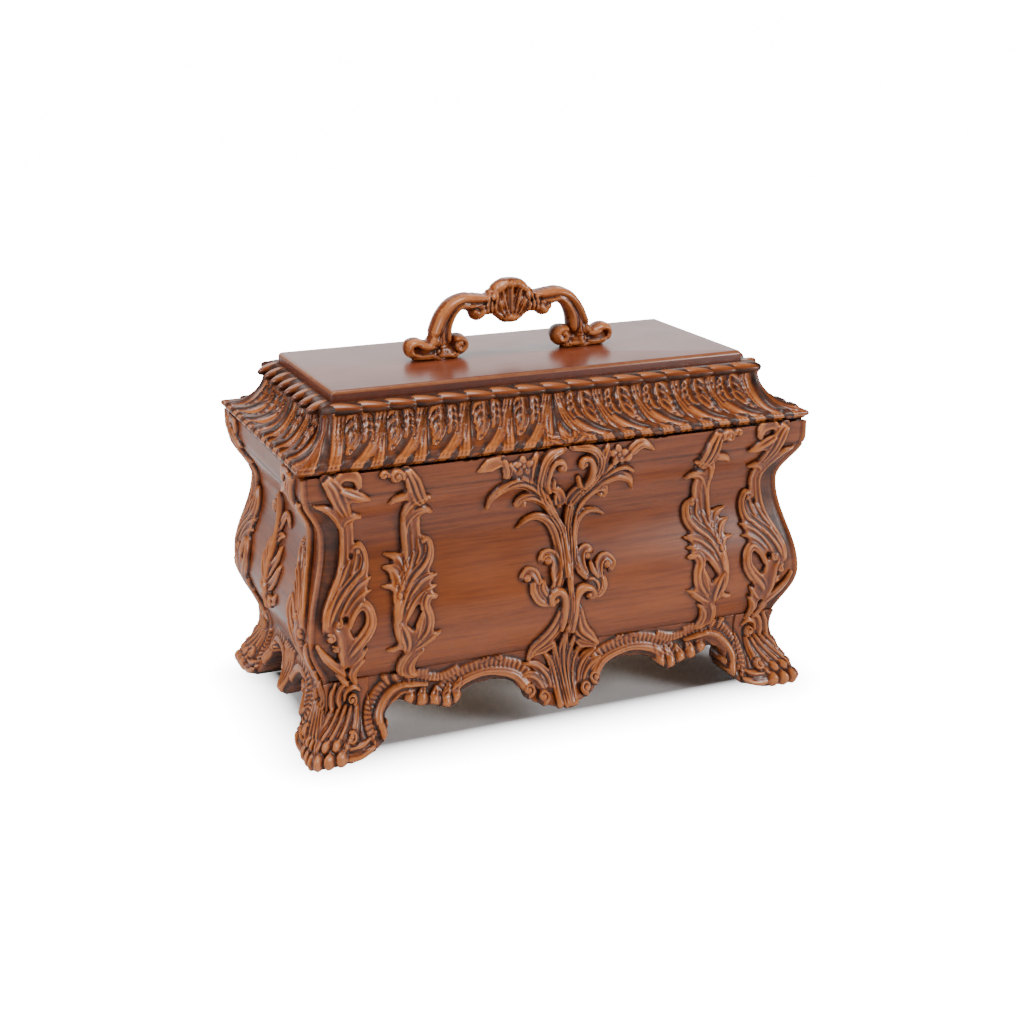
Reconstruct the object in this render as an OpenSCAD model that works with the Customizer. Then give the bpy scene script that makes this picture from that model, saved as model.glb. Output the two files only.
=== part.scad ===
// Hand-cranked cylinder music box in a carved, swelling wooden case.
// Origin: middle of the case on the plane its feet stand on. X runs along the
// front, Y to the back, Z up. The crank is on the right-hand end (+X).

/* [Case] */
// Width of the case at its widest line
case_w = 296; // [246:1:356]
// Depth of the case at its widest line
case_d = 164; // [150:1:198]
// Height of the case's underside, where the feet and aprons end
base_h = 46; // [44:1:55]
// Height of the rim that the lid closes on
rim_h = 163; // [162:1:190]
// Height of the fullest line of the sides
belly_h = 74; // [66:1:80]
// Height of the waist between belly and rim, and of the crank's axis
neck_h = 127; // [120:1:134]
// Height at which the plain band below the rim begins
band_h = 155; // [148:1:158]
// How far the waist stands in from the widest line
neck_in = 12; // [8:0.5:14]
// How far the belly stands in from the widest line
belly_in = 1.2; // [0.5:0.1:3]
// How far the ankles of the feet stand in
ankle_in = 13; // [9:0.5:14]
// Height of the ankles
ankle_h = 37; // [34:1:40]
// Thickness of the wooden walls at the waist
wall = 10; // [8:0.5:12]
// Thickness of the bottom board
bottom_t = 8; // [6:0.5:10]
// Joint left between glued strips that meet at a corner
joint = 0.05; // [0.02:0.01:0.1]

/* [Base] */
// Width of each foot
foot_w = 35; // [30:1:40]
// Thickness of the aprons
apron_t = 12; // [9:0.5:14]
// Height of the toes' fullest line
toe_h = 6; // [4:0.5:8]
// Size of each glue block
block_s = 12; // [8:1:14]

/* [Lid] */
// How far the lid's lip stands past the case at each end
lid_over = 2; // [0:0.5:3]
// Height of the hollow moulding of the lid, from the rim to its shoulder
cove_h = 27; // [23:0.5:32]
// How far the hollow moulding runs in
cove_in = 20.5; // [17:0.5:22]
// Thickness of the lid's top board
board_t = 6; // [5:0.5:8]
// How far the top board's edge stands in from the lip
board_in = 28.2; // [25:0.2:32]
// Width of the lid frame's walls
lid_wall = 24; // [23:0.5:26]
// Gap between rim and lid
seam = 0.4; // [0.3:0.05:0.6]
// Radius of the lid's rounded lip
lip_r = 3.5; // [3:0.1:4]

/* [Handle] */
// Distance between the outer ends of the handle's feet
handle_w = 125; // [110:1:140]
// Height of the handle above the lid
handle_h = 42; // [36:1:50]
// Thickness of the handle, front to back
handle_t = 16; // [12:0.5:20]

/* [Carving] */
// Height of the carved work above the walls
relief = 4.5; // [3:0.5:6]
// Half width of the spray in the middle of the front
spray_half = 42; // [36:1:50]
// Distance of the leaf drops from the middle of the front
drop_x = 88; // [78:1:94]

/* [Movement] */
// Height of the soundboard's top face
soundboard_h = 88; // [84:1:92]
// Thickness of the soundboard
soundboard_t = 4; // [3:0.5:5]
// Length of the bedplate
bed_len = 101; // [96:1:108]
// Thickness of the bedplate and the bearing plates
plate_t = 3; // [2.5:0.5:4]
// Radius of the pinned cylinder
drum_r = 11; // [9:0.5:12]
// Length of the pinned cylinder
drum_len = 60; // [50:1:62]
// Number of teeth on the comb
comb_teeth = 18; // [12:1:22]
// Radius of a pin of the cylinder
pin_r = 0.35; // [0.3:0.05:0.5]
// Height of a pin above the cylinder
pin_h = 1; // [0.8:0.1:1.2]
// Free gap between the pins' path and the comb's tips
comb_gap = 0.3; // [0.2:0.05:0.5]

/* [Gears] */
// Gear module
gear_m = 0.8; // [0.75:0.01:0.85]
// Teeth on both pinions
pinion_teeth = 14; // [13:1:16]
// Teeth on both wheels
wheel_teeth = 42; // [38:1:44]
// Thickness of the gears
gear_t = 4; // [3:0.5:4.5]
// Thinning of each tooth for free running
backlash = 0.16; // [0.1:0.02:0.24]

/* [Crank] */
// Distance from the crank's axis to the knob's axis
crank_r = 26; // [20:1:30]
// Radius of the crank shaft
shaft_r = 2.5; // [2:0.1:3]
// Thickness of the crank arm
arm_t = 3; // [2:0.5:4]
// Length of the knob
knob_len = 11.6; // [9:0.2:14]
// Radius of the knob
knob_r = 6; // [5:0.5:8]
// Radial clearance of everything that runs in a bearing
run = 0.05; // [0.03:0.01:0.09]

/* [Hinges] */
// Distance of each hinge from the middle of the back
hinge_x = 80; // [60:1:86]
// Length of each hinge
hinge_len = 30; // [25:1:36]
// Radius of the hinge knuckles
knuckle_r = 2.2; // [2:0.1:2.6]
// Thickness of the hinge leaves
leaf_t = 1.5; // [1.2:0.1:1.8]

/* [Hidden] */
$fn = 48;

mahogany = "saddlebrown";
pale_wood = "burlywood";
brass = "goldenrod";
steel = "lightsteelblue";
plush = "darkred";

eps = 0.01;
half_w = case_w / 2;
half_d = case_d / 2;
inner_x = half_w - neck_in - wall;
inner_y = half_d - neck_in - wall;
band_in = 0.5;
toe_in = 0.5;
floor_in = 2.5;
floor_top = base_h + bottom_t;
zstep = 3;

// Smooth step from 0 to 1, and a value between two others.
function ease(t) = (1 - cos(180 * t)) / 2;
function mix(a, b, t) = a + (b - a) * t;
function part_way(z, a, b) = (z - a) / (b - a);

// How far the outside stands in from the widest line at height z.
function wall_in(z) =
    z < toe_h ? mix(floor_in, toe_in, ease(z / toe_h)) :
    z < ankle_h ? mix(toe_in, ankle_in, ease(pow(part_way(z, toe_h, ankle_h), 0.75))) :
    z < belly_h ? mix(ankle_in, belly_in, ease(part_way(z, ankle_h, belly_h))) :
    z < neck_h ? mix(belly_in, neck_in, ease(part_way(z, belly_h, neck_h))) :
    z < band_h ? mix(neck_in, band_in, ease(part_way(z, neck_h, band_h))) : band_in;

// Heights from a to b at which the curved outside is drawn.
function heights(a, b) = concat([a], [for (z = [zstep * ceil((a + 0.1) / zstep) : zstep : b - 0.1]) z], [b]);

// Extrude an outline drawn in Y and Z along X, or in X and Z along Y.
module along_x(len) { rotate([90, 0, 90]) linear_extrude(len, center = true) children(); }
module along_y(len) { rotate([90, 0, 0]) linear_extrude(len, center = true) children(); }
module rod(x0, x1, r) { translate([x0, 0, 0]) rotate([0, 90, 0]) cylinder(h = x1 - x0, r = r); }
module block(lo, hi) { translate(lo) cube(hi - lo); }

// Mitred length of wall on the front or on the left: everything outside the
// 45 degree cuts through the corners is taken away.
module front_mitre(hw, hd, reach = 60) {
    linear_extrude(400, center = true)
        polygon([[-hw - 9, -hd - 9], [hw + 9, -hd - 9], [hw + 9 - reach, -hd - 9 + reach],
                 [-hw - 9 + reach, -hd - 9 + reach]]);
}
module left_mitre(hw, hd, reach = 60) {
    linear_extrude(400, center = true)
        polygon([[-hw - 9, hd + 9], [-hw - 9, -hd - 9], [-hw - 9 + reach, -hd - 9 + reach],
                 [-hw - 9 + reach, hd + 9 - reach]]);
}

// Outline of a wall with its curved outside at reference line ref, drawn on
// the negative side, from z0 to z1, and back to the line x = inner.
module wall_outline(ref, z0, z1, inner) {
    zs = heights(z0, z1);
    polygon(concat([for (z = zs) [-ref + wall_in(z), z]], [[-inner, z1], [-inner, z0]]));
}
// The same curve as a thin skin that stands out from the wall.
module skin_outline(ref, z0, z1, out) {
    zs = heights(z0, z1);
    n = len(zs) - 1;
    polygon(concat([for (z = zs) [-ref + wall_in(z) - out, z]],
                   [for (i = [n : -1 : 0]) [-ref + wall_in(zs[i]), zs[i]]]));
}

// ---------------------------------------------------------------- walls
module front_wall() {
    intersection() {
        along_x(case_w) wall_outline(half_d, base_h, rim_h, inner_y);
        front_mitre(half_w, half_d);
    }
}
module end_wall() {
    intersection() {
        along_y(case_d) wall_outline(half_w, base_h, rim_h, inner_x);
        left_mitre(half_w, half_d);
    }
}
module front_panel() { color(mahogany) difference() { front_wall(); foot_screw_holes(); } }
module back_panel() {
    color(mahogany) difference() {
        rotate(180) front_wall();
        foot_screw_holes();
        for (s = [-1, 1]) translate([s * hinge_x, 0, 0]) {
            block([-hinge_len / 2 - 0.1, hinge_y - leaf_reach - 0.1, rim_h - leaf_t],
                  [hinge_len / 2 + 0.1, hinge_y + 9, rim_h + 9]);
            leaf_screws() wood_screw_hole(hinge_screw_r, rim_h);
        }
    }
}
module left_end_panel() { color(mahogany) end_wall(); }
module right_end_panel() {
    color(mahogany) difference() {
        rotate(180) end_wall();
        translate([0, 0, neck_h]) {
            rod(inner_x - 9, half_w + 9, bush_r);
            rod(seat_x, half_w + 9, escutcheon_r);
        }
    }
}
module bottom_board() {
    color(pale_wood) block([-inner_x, -inner_y, base_h], [inner_x, inner_y, floor_top]);
}

// ---------------------------------------------------------------- base
apron_x = half_w - foot_w;
apron_y = half_d - foot_w;

// Lower edge of the long aprons: share of the half length, then height.
long_edge = [[0, 12], [0.05, 12.5], [0.1, 14], [0.16, 16.5], [0.2, 21], [0.23, 26.5], [0.28, 30],
    [0.36, 31.5], [0.45, 31], [0.52, 28.5], [0.55, 23.5], [0.6, 21], [0.65, 22.5], [0.69, 24.5],
    [0.75, 24.5], [0.8, 26.5], [0.84, 29.5], [0.89, 28.5], [0.93, 23.5], [0.92, 17.5], [0.95, 11.5],
    [1, 7]];
// Lower edge of the short aprons.
short_edge = [[0, 14], [0.12, 15], [0.2, 20], [0.28, 26], [0.4, 30], [0.55, 30], [0.68, 27],
    [0.76, 20], [0.84, 15], [1, 8]];

module edge_outline(edge, half_len) {
    n = len(edge) - 1;
    polygon(concat([[half_len, base_h], [-half_len, base_h]],
                   [for (i = [n : -1 : 0]) [-edge[i][0] * half_len, edge[i][1]]],
                   [for (i = [1 : n]) [edge[i][0] * half_len, edge[i][1]]]));
}
module apron_section(ref) {
    zs = heights(4, base_h);
    n = len(zs) - 1;
    polygon(concat([for (z = zs) [-ref + wall_in(z), z]],
                   [for (i = [n : -1 : 0]) [-ref + ankle_in + apron_t, zs[i]]]));
}
module long_apron() {
    intersection() {
        along_x(2 * apron_x) apron_section(half_d);
        along_y(case_d + 20) edge_outline(long_edge, apron_x);
    }
}
module short_apron() {
    intersection() {
        along_y(2 * apron_y) apron_section(half_w);
        along_x(case_w + 20) edge_outline(short_edge, apron_y);
    }
}
module front_apron() { color(mahogany) long_apron(); }
module back_apron() { color(mahogany) rotate(180) long_apron(); }
module left_apron() { color(mahogany) short_apron(); }
module right_apron() { color(mahogany) rotate(180) short_apron(); }

// A foot follows the curve of both faces that meet at its corner.
module foot_block() {
    intersection() {
        along_x(case_w) wall_outline(half_d, 0, base_h, apron_y);
        along_y(case_d) wall_outline(half_w, 0, base_h, apron_x);
    }
}
module foot(sx, sy) {
    color(mahogany) difference() {
        mirror([sx > 0 ? 1 : 0, 0, 0]) mirror([0, sy > 0 ? 1 : 0, 0]) foot_block();
        foot_screw_holes();
    }
}
module foot_front_left() { foot(-1, -1); }
module foot_front_right() { foot(1, -1); }
module foot_back_left() { foot(-1, 1); }
module foot_back_right() { foot(1, 1); }

// Wood screw, head down at z = 0, shank upwards.
foot_screw_r = 2;
foot_screw_seat = 22;
foot_screw_len = 40;
foot_screw_x = half_w - foot_w + 6;
foot_screw_y = inner_y + 4;
module at_foot_screws() {
    for (sx = [-1, 1], sy = [-1, 1]) translate([sx * foot_screw_x, sy * foot_screw_y, foot_screw_seat]) children();
}
module foot_screws() {
    color(steel) at_foot_screws() {
        cylinder(h = 3, r = 2 * foot_screw_r);
        cylinder(h = foot_screw_len, r = foot_screw_r);
    }
}
module foot_screw_holes() {
    at_foot_screws() {
        translate([0, 0, -60]) cylinder(h = 63, r = 2 * foot_screw_r + 0.1);
        cylinder(h = foot_screw_len + 0.5, r = foot_screw_r + 0.02);
    }
}

// Glue blocks in the angle between aprons and bottom board.
module glue_blocks() {
    back_x = half_w - ankle_in - apron_t;
    back_y = half_d - ankle_in - apron_t;
    color(pale_wood) {
        for (s = [-1, 1], k = [-0.6, 0, 0.6]) translate([k * apron_x, s * (back_y - block_s / 2), base_h - block_s / 2])
            cube([2 * block_s, block_s, block_s], center = true);
        for (s = [-1, 1]) translate([s * (back_x - block_s / 2), 0, base_h - block_s / 2])
            cube([block_s, 2 * block_s, block_s], center = true);
    }
}

// ---------------------------------------------------------------- carving
// Carved pieces: an outline on the face, cut from a skin that lies on the wall.
module on_front(z0, z1) {
    intersection() {
        along_x(case_w) skin_outline(half_d, z0, z1, relief);
        along_y(3 * case_d) children();
        translate([0, -half_d, 0]) cube([2 * case_w, case_d, 4 * rim_h], center = true);
    }
}
module on_left(z0, z1) {
    intersection() {
        along_y(case_d) skin_outline(half_w, z0, z1, relief);
        along_x(3 * case_w) children();
        translate([-half_w, 0, 0]) cube([case_w, 2 * case_d, 4 * rim_h], center = true);
    }
}
spray_z0 = base_h + 2;
spray_z1 = rim_h - 2;
spray_edge = [[0, 0.02], [0.55, 0], [0.5, 0.08], [0.22, 0.2], [0.5, 0.22], [0.66, 0.38], [0.35, 0.46],
    [0.12, 0.5], [0.3, 0.6], [0.65, 0.7], [0.45, 0.77], [1, 0.74], [0.78, 0.86], [1, 0.98], [0.5, 0.97],
    [0.3, 1], [0, 0.98]];
module spray_outline() {
    n = len(spray_edge) - 1;
    polygon(concat(
        [for (i = [0 : n]) [spray_edge[i][0] * spray_half, mix(spray_z0, spray_z1, spray_edge[i][1])]],
        [for (i = [n - 1 : -1 : 1]) [-spray_edge[i][0] * spray_half, mix(spray_z0, spray_z1, spray_edge[i][1])]]));
}
module front_spray() { color(mahogany) on_front(spray_z0, spray_z1) spray_outline(); }
module back_spray() { color(mahogany) rotate(180) front_spray(); }

drop_z0 = base_h + 4;
drop_z1 = rim_h - 2;
// Half width of a leaf drop at a share of its height.
drop_edge = [[0, 4], [0.08, 10], [0.22, 12], [0.42, 12], [0.56, 12], [0.64, 9], [0.8, 5], [0.88, 7],
    [0.96, 9], [1, 7]];
module drop_outline(x, wide = 1) {
    n = len(drop_edge) - 1;
    translate([x, 0]) polygon(concat(
        [for (i = [0 : n]) [wide * drop_edge[i][1], mix(drop_z0, drop_z1, drop_edge[i][0])]],
        [for (i = [n : -1 : 0]) [-wide * drop_edge[i][1], mix(drop_z0, drop_z1, drop_edge[i][0])]]));
}
module leaf_drops() {
    color(mahogany) for (a = [0, 180], s = [-1, 1]) rotate(a) on_front(drop_z0, drop_z1) drop_outline(s * drop_x);
}
corner_in = 27;
module corner_leaves_front() {
    color(mahogany) {
        for (s = [-1, 1]) on_front(drop_z0, drop_z1) drop_outline(s * (half_w - corner_in), 0.8);
        on_left(drop_z0, drop_z1) drop_outline(-half_d + corner_in, 0.8);
        mirror([1, 0, 0]) on_left(drop_z0, drop_z1) drop_outline(-half_d + corner_in, 0.8);
    }
}
module corner_leaves_back() { color(mahogany) mirror([0, 1, 0]) corner_leaves_front(); }
end_spray_half = 22;
module left_end_spray() {
    color(mahogany) on_left(base_h + 12, neck_h + 8) polygon([
        [0, base_h + 12], [end_spray_half * 0.6, belly_h - 6], [end_spray_half, belly_h + 8],
        [end_spray_half * 0.5, belly_h + 26], [end_spray_half * 0.9, neck_h + 2], [0, neck_h + 8],
        [-end_spray_half * 0.9, neck_h + 2], [-end_spray_half * 0.5, belly_h + 26],
        [-end_spray_half, belly_h + 8], [-end_spray_half * 0.6, belly_h - 6]]);
}

// ---------------------------------------------------------------- inside
part_t = 4;
bed_x1 = inner_x - 3;
bed_x0 = bed_x1 - bed_len;
part_x = bed_x0 - 3;
lining_t = 1.5;
rim_gap = 6;
module partition() {
    color(mahogany) block([part_x - part_t, -inner_y, floor_top], [part_x, inner_y, rim_h - rim_gap]);
}
module compartment_lining() {
    x0 = -inner_x;
    x1 = part_x - part_t;
    top = rim_h - 2 * rim_gap;
    z0 = floor_top + lining_t;
    color(plush) {
        block([x0, -inner_y, floor_top], [x1, inner_y, z0]);
        block([x0, -inner_y, z0 + joint], [x1, -inner_y + lining_t, top]);
        block([x0, inner_y - lining_t, z0 + joint], [x1, inner_y, top]);
        for (x = [x0, x1 - lining_t])
            block([x, -inner_y + lining_t + joint, z0 + joint], [x + lining_t, inner_y - lining_t - joint, top]);
    }
}
cleat_s = 8;
module soundboard() {
    color(pale_wood) difference() {
        block([part_x, -inner_y, soundboard_h - soundboard_t], [inner_x, inner_y, soundboard_h]);
        bed_screws() screw_hole();
        flange_screws() screw_hole();
    }
}
module soundboard_cleats() {
    z1 = soundboard_h - soundboard_t;
    color(pale_wood) for (s = [-1, 1])
        block([part_x, min(s * inner_y, s * (inner_y - cleat_s)), z1 - cleat_s],
              [inner_x, max(s * inner_y, s * (inner_y - cleat_s)), z1]);
}

// ---------------------------------------------------------------- movement
pitch_pinion = gear_m * pinion_teeth / 2;
pitch_wheel = gear_m * wheel_teeth / 2;
centres = pitch_pinion + pitch_wheel;
bed_top = soundboard_h + plate_t;
crank_yz = [0, neck_h];
cyl_y = 16;
cyl_z = bed_top + pitch_wheel + 3.2;
cyl_yz = [cyl_y, cyl_z];
// The idler stands above the line between the crank and the cylinder.
between = cyl_yz - crank_yz;
between_len = norm(between);
rise = sqrt(centres * centres - between_len * between_len / 4);
side = between_len > 0 ? [-between[1], between[0]] / between_len : [0, 1];
idler_yz = (crank_yz + cyl_yz) / 2 + (side[1] > 0 ? 1 : -1) * rise * side;
dir_crank_idler = atan2(idler_yz[1] - crank_yz[1], idler_yz[0] - crank_yz[0]);
dir_idler_cyl = atan2(cyl_yz[1] - idler_yz[1], cyl_yz[0] - idler_yz[0]);

arbor_r = 1.5;
outer_plate_x = inner_x - 10;
wheel_plane = outer_plate_x - plate_t - 5 - gear_t / 2 + 3;
pinion_plane = wheel_plane - gear_t - 2;
inner_plate_x = pinion_plane - gear_t / 2 - 2;
drum_x1 = inner_plate_x - plate_t - 3;
drum_x0 = drum_x1 - drum_len;
bracket_x = drum_x0 - 3;

module at_yz(p) { translate([0, p[0], p[1]]) children(); }

// Involute gear tooth: half angle of the tooth at radius r, in degrees.
press = 20;
function inv_deg(a) = tan(a) * 180 / PI - a;
function tooth_half(r, rp, n) =
    90 / n - backlash / (4 * rp) * 180 / PI + inv_deg(press)
    - inv_deg(acos(min(1, rp * cos(press) / r)));
function polar(r, a) = [r * cos(a), r * sin(a)];
module gear_outline(n) {
    rp = gear_m * n / 2;
    rf = rp - 1.15 * gear_m;
    ra = rp + 0.85 * gear_m;
    rb = max(rf + eps, rp * cos(press) + eps);
    rs = [for (k = [0 : 4]) mix(rb, ra, k / 4)];
    polygon([for (i = [0 : n - 1]) each concat(
        [polar(rf, 360 * i / n - tooth_half(rb, rp, n))],
        [for (r = rs) polar(r, 360 * i / n - tooth_half(r, rp, n))],
        [for (k = [4 : -1 : 0]) polar(rs[k], 360 * i / n + tooth_half(rs[k], rp, n))],
        [polar(rf, 360 * i / n + tooth_half(rb, rp, n))])]);
}
// A gear in the YZ plane at x, with a tooth pointing at angle a from +Y.
module gear(n, x, a) {
    translate([x - gear_t / 2, 0, 0]) rotate([90, 0, 90]) rotate(a) linear_extrude(gear_t) gear_outline(n);
}
module wheel_lightening(n, x) {
    r = gear_m * n / 4 + 0.5;
    for (k = [0 : 4]) rotate([72 * k, 0, 0]) translate([0, r, 0]) rod(x - gear_t, x + gear_t, r * 0.36);
}

module bedplate() {
    color(brass) difference() {
        block([bed_x0, bed_y0, soundboard_h], [bed_x1, bed_y1, bed_top]);
        bed_screws() screw_hole();
        flange_screws() screw_hole();
        base_screws() screw_hole();
    }
}
bed_y0 = -32;
bed_y1 = 38;
bed_inset = 5;
screw_r = 1.25;
screw_len = 6.5;
module cheese_screw() {
    translate([0, 0, -screw_len]) cylinder(h = screw_len, r = screw_r);
    difference() {
        cylinder(h = 1.6, r = 2 * screw_r);
        translate([-3, -0.3, 1]) cube([6, 0.6, 1]);
    }
}
module screw_hole() { translate([0, 0, -screw_len - 0.2]) cylinder(h = screw_len + 6, r = screw_r + 0.02); }
module bed_screws() {
    for (x = [bed_x0 + bed_inset, bed_x1 - bed_inset + 1], y = [bed_y0 + bed_inset - 1, bed_y1 - bed_inset + 2])
        translate([x, y, bed_top]) children();
}
flange_len = 8;
flange_t = 2;
module flange_screws() {
    for (y = [cyl_y - 7, cyl_y + 9]) {
        translate([bracket_x - plate_t - flange_len / 2, y, bed_top + flange_t]) children();
        translate([inner_plate_x - plate_t - flange_len / 2 + 0.4, y + (y < cyl_y ? -5 : 8), bed_top + flange_t]) children();
    }
    for (y = [-6, 31]) translate([outer_plate_x - plate_t - flange_len / 2, y, bed_top + flange_t]) children();
}
module movement_screws() {
    color(steel) {
        bed_screws() cheese_screw();
        flange_screws() cheese_screw();
    }
}
// An upright bearing plate with its foot; x is its right-hand face.
module upright(x, y0, y1, top) {
    block([x - plate_t, y0, bed_top], [x, y1, top]);
    block([x - plate_t - flange_len, y0, bed_top], [x - plate_t, y1, bed_top + flange_t]);
}
module cylinder_bracket() {
    color(brass) difference() {
        upright(bracket_x, cyl_y - 10, cyl_y + 12, cyl_z + 7);
        at_yz(cyl_yz) rod(bracket_x - 9, bracket_x + 9, arbor_r + run);
        flange_screws() screw_hole();
    }
}
plate_top = idler_yz[1] + 7;
module train_plates() {
    color(brass) difference() {
        union() {
            difference() {
                upright(inner_plate_x, cyl_y - 15, cyl_y + 20, plate_top);
                block([inner_plate_x - plate_t - flange_len - 1, cyl_y - 8, bed_top - 1],
                      [inner_plate_x - plate_t, cyl_y + 13, plate_top]);
            }
            upright(outer_plate_x, -10, 35, plate_top);
        }
        at_yz(cyl_yz) rod(drum_x1, inner_plate_x + 1, arbor_r + run);
        at_yz(idler_yz) rod(drum_x1, outer_plate_x + 9, arbor_r + run);
        at_yz(crank_yz) rod(outer_plate_x - plate_t - 1, outer_plate_x + 9, shaft_r + run);
        flange_screws() screw_hole();
    }
}

comb_tip = cyl_y - drum_r - pin_h - comb_gap;
comb_t = 1.2;
comb_pitch = (drum_len - 6) / comb_teeth;
comb_root = comb_tip - 17;
comb_back = comb_root - 12;
comb_x0 = drum_x0 + 3;
comb_x1 = comb_x0 + comb_teeth * comb_pitch;
comb_slot = 0.6;
comb_screw_r = 1.5;
module base_screws() {
    for (k = [0.15, 0.5, 0.85])
        translate([mix(comb_x0, comb_x1, k), (comb_root + comb_back) / 2, cyl_z + comb_t / 2]) children();
}
module comb() {
    color(steel) difference() {
        block([comb_x0, comb_back, cyl_z - comb_t / 2], [comb_x1, comb_tip, cyl_z + comb_t / 2]);
        for (i = [1 : comb_teeth - 1])
            block([comb_x0 + i * comb_pitch - comb_slot / 2, comb_root, cyl_z - 2],
                  [comb_x0 + i * comb_pitch + comb_slot / 2, comb_tip + 1, cyl_z + 2]);
        base_screws() comb_screw_hole();
    }
}
module comb_screw_hole() { translate([0, 0, -11]) cylinder(h = 14, r = comb_screw_r + 0.02); }
module comb_base() {
    color(brass) difference() {
        block([comb_x0, comb_back, bed_top], [comb_x1, comb_root, cyl_z - comb_t / 2]);
        base_screws() comb_screw_hole();
    }
}
module comb_screws() {
    color(steel) base_screws() {
        translate([0, 0, -10]) cylinder(h = 10, r = comb_screw_r);
        difference() {
            cylinder(h = 1.8, r = 2 * comb_screw_r);
            translate([-4, -0.35, 1.1]) cube([8, 0.7, 1]);
        }
    }
}

module cylinder_arbor() {
    color(steel) at_yz(cyl_yz) rod(bracket_x - plate_t - 1, pinion_plane + gear_t / 2 + 0.5, arbor_r);
}
module cylinder_drum() {
    color(brass) at_yz(cyl_yz) difference() {
        rod(drum_x0, drum_x1, drum_r);
        rod(drum_x0 - 1, drum_x1 + 1, arbor_r);
    }
}
// Four pins to a note, spread round the cylinder by a fixed rule.
module cylinder_pins() {
    color(steel) at_yz(cyl_yz) for (i = [0 : comb_teeth - 1], k = [0 : 3])
        translate([comb_x0 + (i + 0.5) * comb_pitch, 0, 0])
            rotate([k * 90 + (i * 7 + k * k * 5) % 12 * 7.5 + 3.75, 0, 0])
                translate([0, 0, drum_r - 1.5]) cylinder(h = 1.5 + pin_h, r = pin_r, $fn = 16);
}
module cylinder_wheel() {
    color(brass) at_yz(cyl_yz) difference() {
        gear(wheel_teeth, pinion_plane, dir_idler_cyl + 180);
        rod(pinion_plane - gear_t, pinion_plane + gear_t, arbor_r);
        wheel_lightening(wheel_teeth, pinion_plane);
    }
}
module idler_arbor() {
    color(steel) at_yz(idler_yz) {
        rod(inner_plate_x - plate_t - 1, outer_plate_x + 1, arbor_r);
        gear(pinion_teeth, pinion_plane, dir_idler_cyl + 180 / pinion_teeth);
    }
}
module idler_wheel() {
    color(brass) at_yz(idler_yz) difference() {
        gear(wheel_teeth, wheel_plane, dir_crank_idler + 180);
        rod(wheel_plane - gear_t, wheel_plane + gear_t, arbor_r);
        wheel_lightening(wheel_teeth, wheel_plane);
    }
}

// ---------------------------------------------------------------- crank
bush_r = 5;
flange_r = 8;
escutcheon_r = 15;
escutcheon_t = 1.2;
seat_x = half_w - neck_in - 0.5;
arm_x = half_w + lid_over + 1.5;
arm_x1 = arm_x + arm_t;
knob_pin_r = 1.6;
arm_w = 8;
module crank_escutcheon() {
    color(brass) at_yz(crank_yz) difference() {
        rod(seat_x, seat_x + escutcheon_t, escutcheon_r - 0.1);
        rod(seat_x - 1, seat_x + 9, bush_r);
        for (k = [0 : 3]) rotate([45 + 90 * k, 0, 0]) translate([0, escutcheon_r - 3, 0])
            rod(seat_x - 1, seat_x + 9, 0.9);
    }
}
module crank_bush() {
    color(brass) at_yz(crank_yz) difference() {
        union() {
            rod(inner_x - 2, seat_x + escutcheon_t, bush_r);
            rod(seat_x + escutcheon_t, seat_x + escutcheon_t + 1.5, flange_r);
        }
        rod(inner_x - 9, half_w + 9, shaft_r + run);
    }
}
module crank_shaft() {
    color(steel) at_yz(crank_yz) {
        rod(wheel_plane - gear_t / 2 - 0.5, arm_x1 + 3, shaft_r);
    }
}
module crank_pinion() {
    color(steel) at_yz(crank_yz) difference() {
        gear(pinion_teeth, wheel_plane, dir_crank_idler + 180 / pinion_teeth);
        rod(wheel_plane - gear_t, wheel_plane + gear_t, shaft_r);
    }
}
module crank_arm() {
    color(brass) at_yz(crank_yz) difference() {
        union() {
            rod(arm_x, arm_x1, arm_w / 2 + 1.5);
            translate([0, 0, -crank_r]) rod(arm_x, arm_x1, arm_w / 2);
            block([arm_x, -arm_w / 2 + 0.8, -crank_r], [arm_x1, arm_w / 2 - 0.8, 0]);
            rod(seat_x + escutcheon_t + 2, arm_x, arm_w / 2);
        }
        rod(seat_x, arm_x1 + 9, shaft_r);
        translate([0, 0, -crank_r]) rod(arm_x - 1, arm_x1 + 1, knob_pin_r);
    }
}
module crank_nut() {
    color(brass) at_yz(crank_yz) difference() {
        union() {
            translate([arm_x1, 0, 0]) rotate([0, 90, 0]) cylinder(h = 2.6, r = 4.6, $fn = 6);
            rod(arm_x1 + 2.6, arm_x1 + 4.4, 3.4);
        }
        rod(arm_x1 - 1, arm_x1 + 3, shaft_r);
    }
}
knob_x0 = arm_x1 + 0.5;
knob_x1 = knob_x0 + knob_len;
module knob_pin() {
    color(steel) at_yz(crank_yz) translate([0, 0, -crank_r]) {
        rod(arm_x, knob_x1 + 0.4, knob_pin_r);
        rod(knob_x1 + 0.4, knob_x1 + 1.4, knob_pin_r + 1);
    }
}
module crank_knob() {
    color("black") at_yz(crank_yz) translate([knob_x0, 0, -crank_r]) rotate([0, 90, 0]) rotate_extrude()
        polygon([[knob_pin_r + run, 0], [knob_r * 0.62, 0], [knob_r * 0.72, knob_len * 0.12],
                 [knob_r * 0.6, knob_len * 0.24], [knob_r * 0.82, knob_len * 0.45], [knob_r, knob_len * 0.68],
                 [knob_r * 0.92, knob_len * 0.86], [knob_r * 0.6, knob_len], [knob_pin_r + run, knob_len]]);
}

// ---------------------------------------------------------------- lid
lid_hw = half_w + lid_over;
lid_hd = half_d;
lid_z0 = rim_h + seam;
shoulder_h = rim_h + cove_h;
board_z0 = shoulder_h + 4;
lid_top = board_z0 + board_t;
lip_z = lid_z0 + lip_r;
ledge_in = board_in + 10;
ledge_z = shoulder_h - 6;
cove_start = 2.9;
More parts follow.
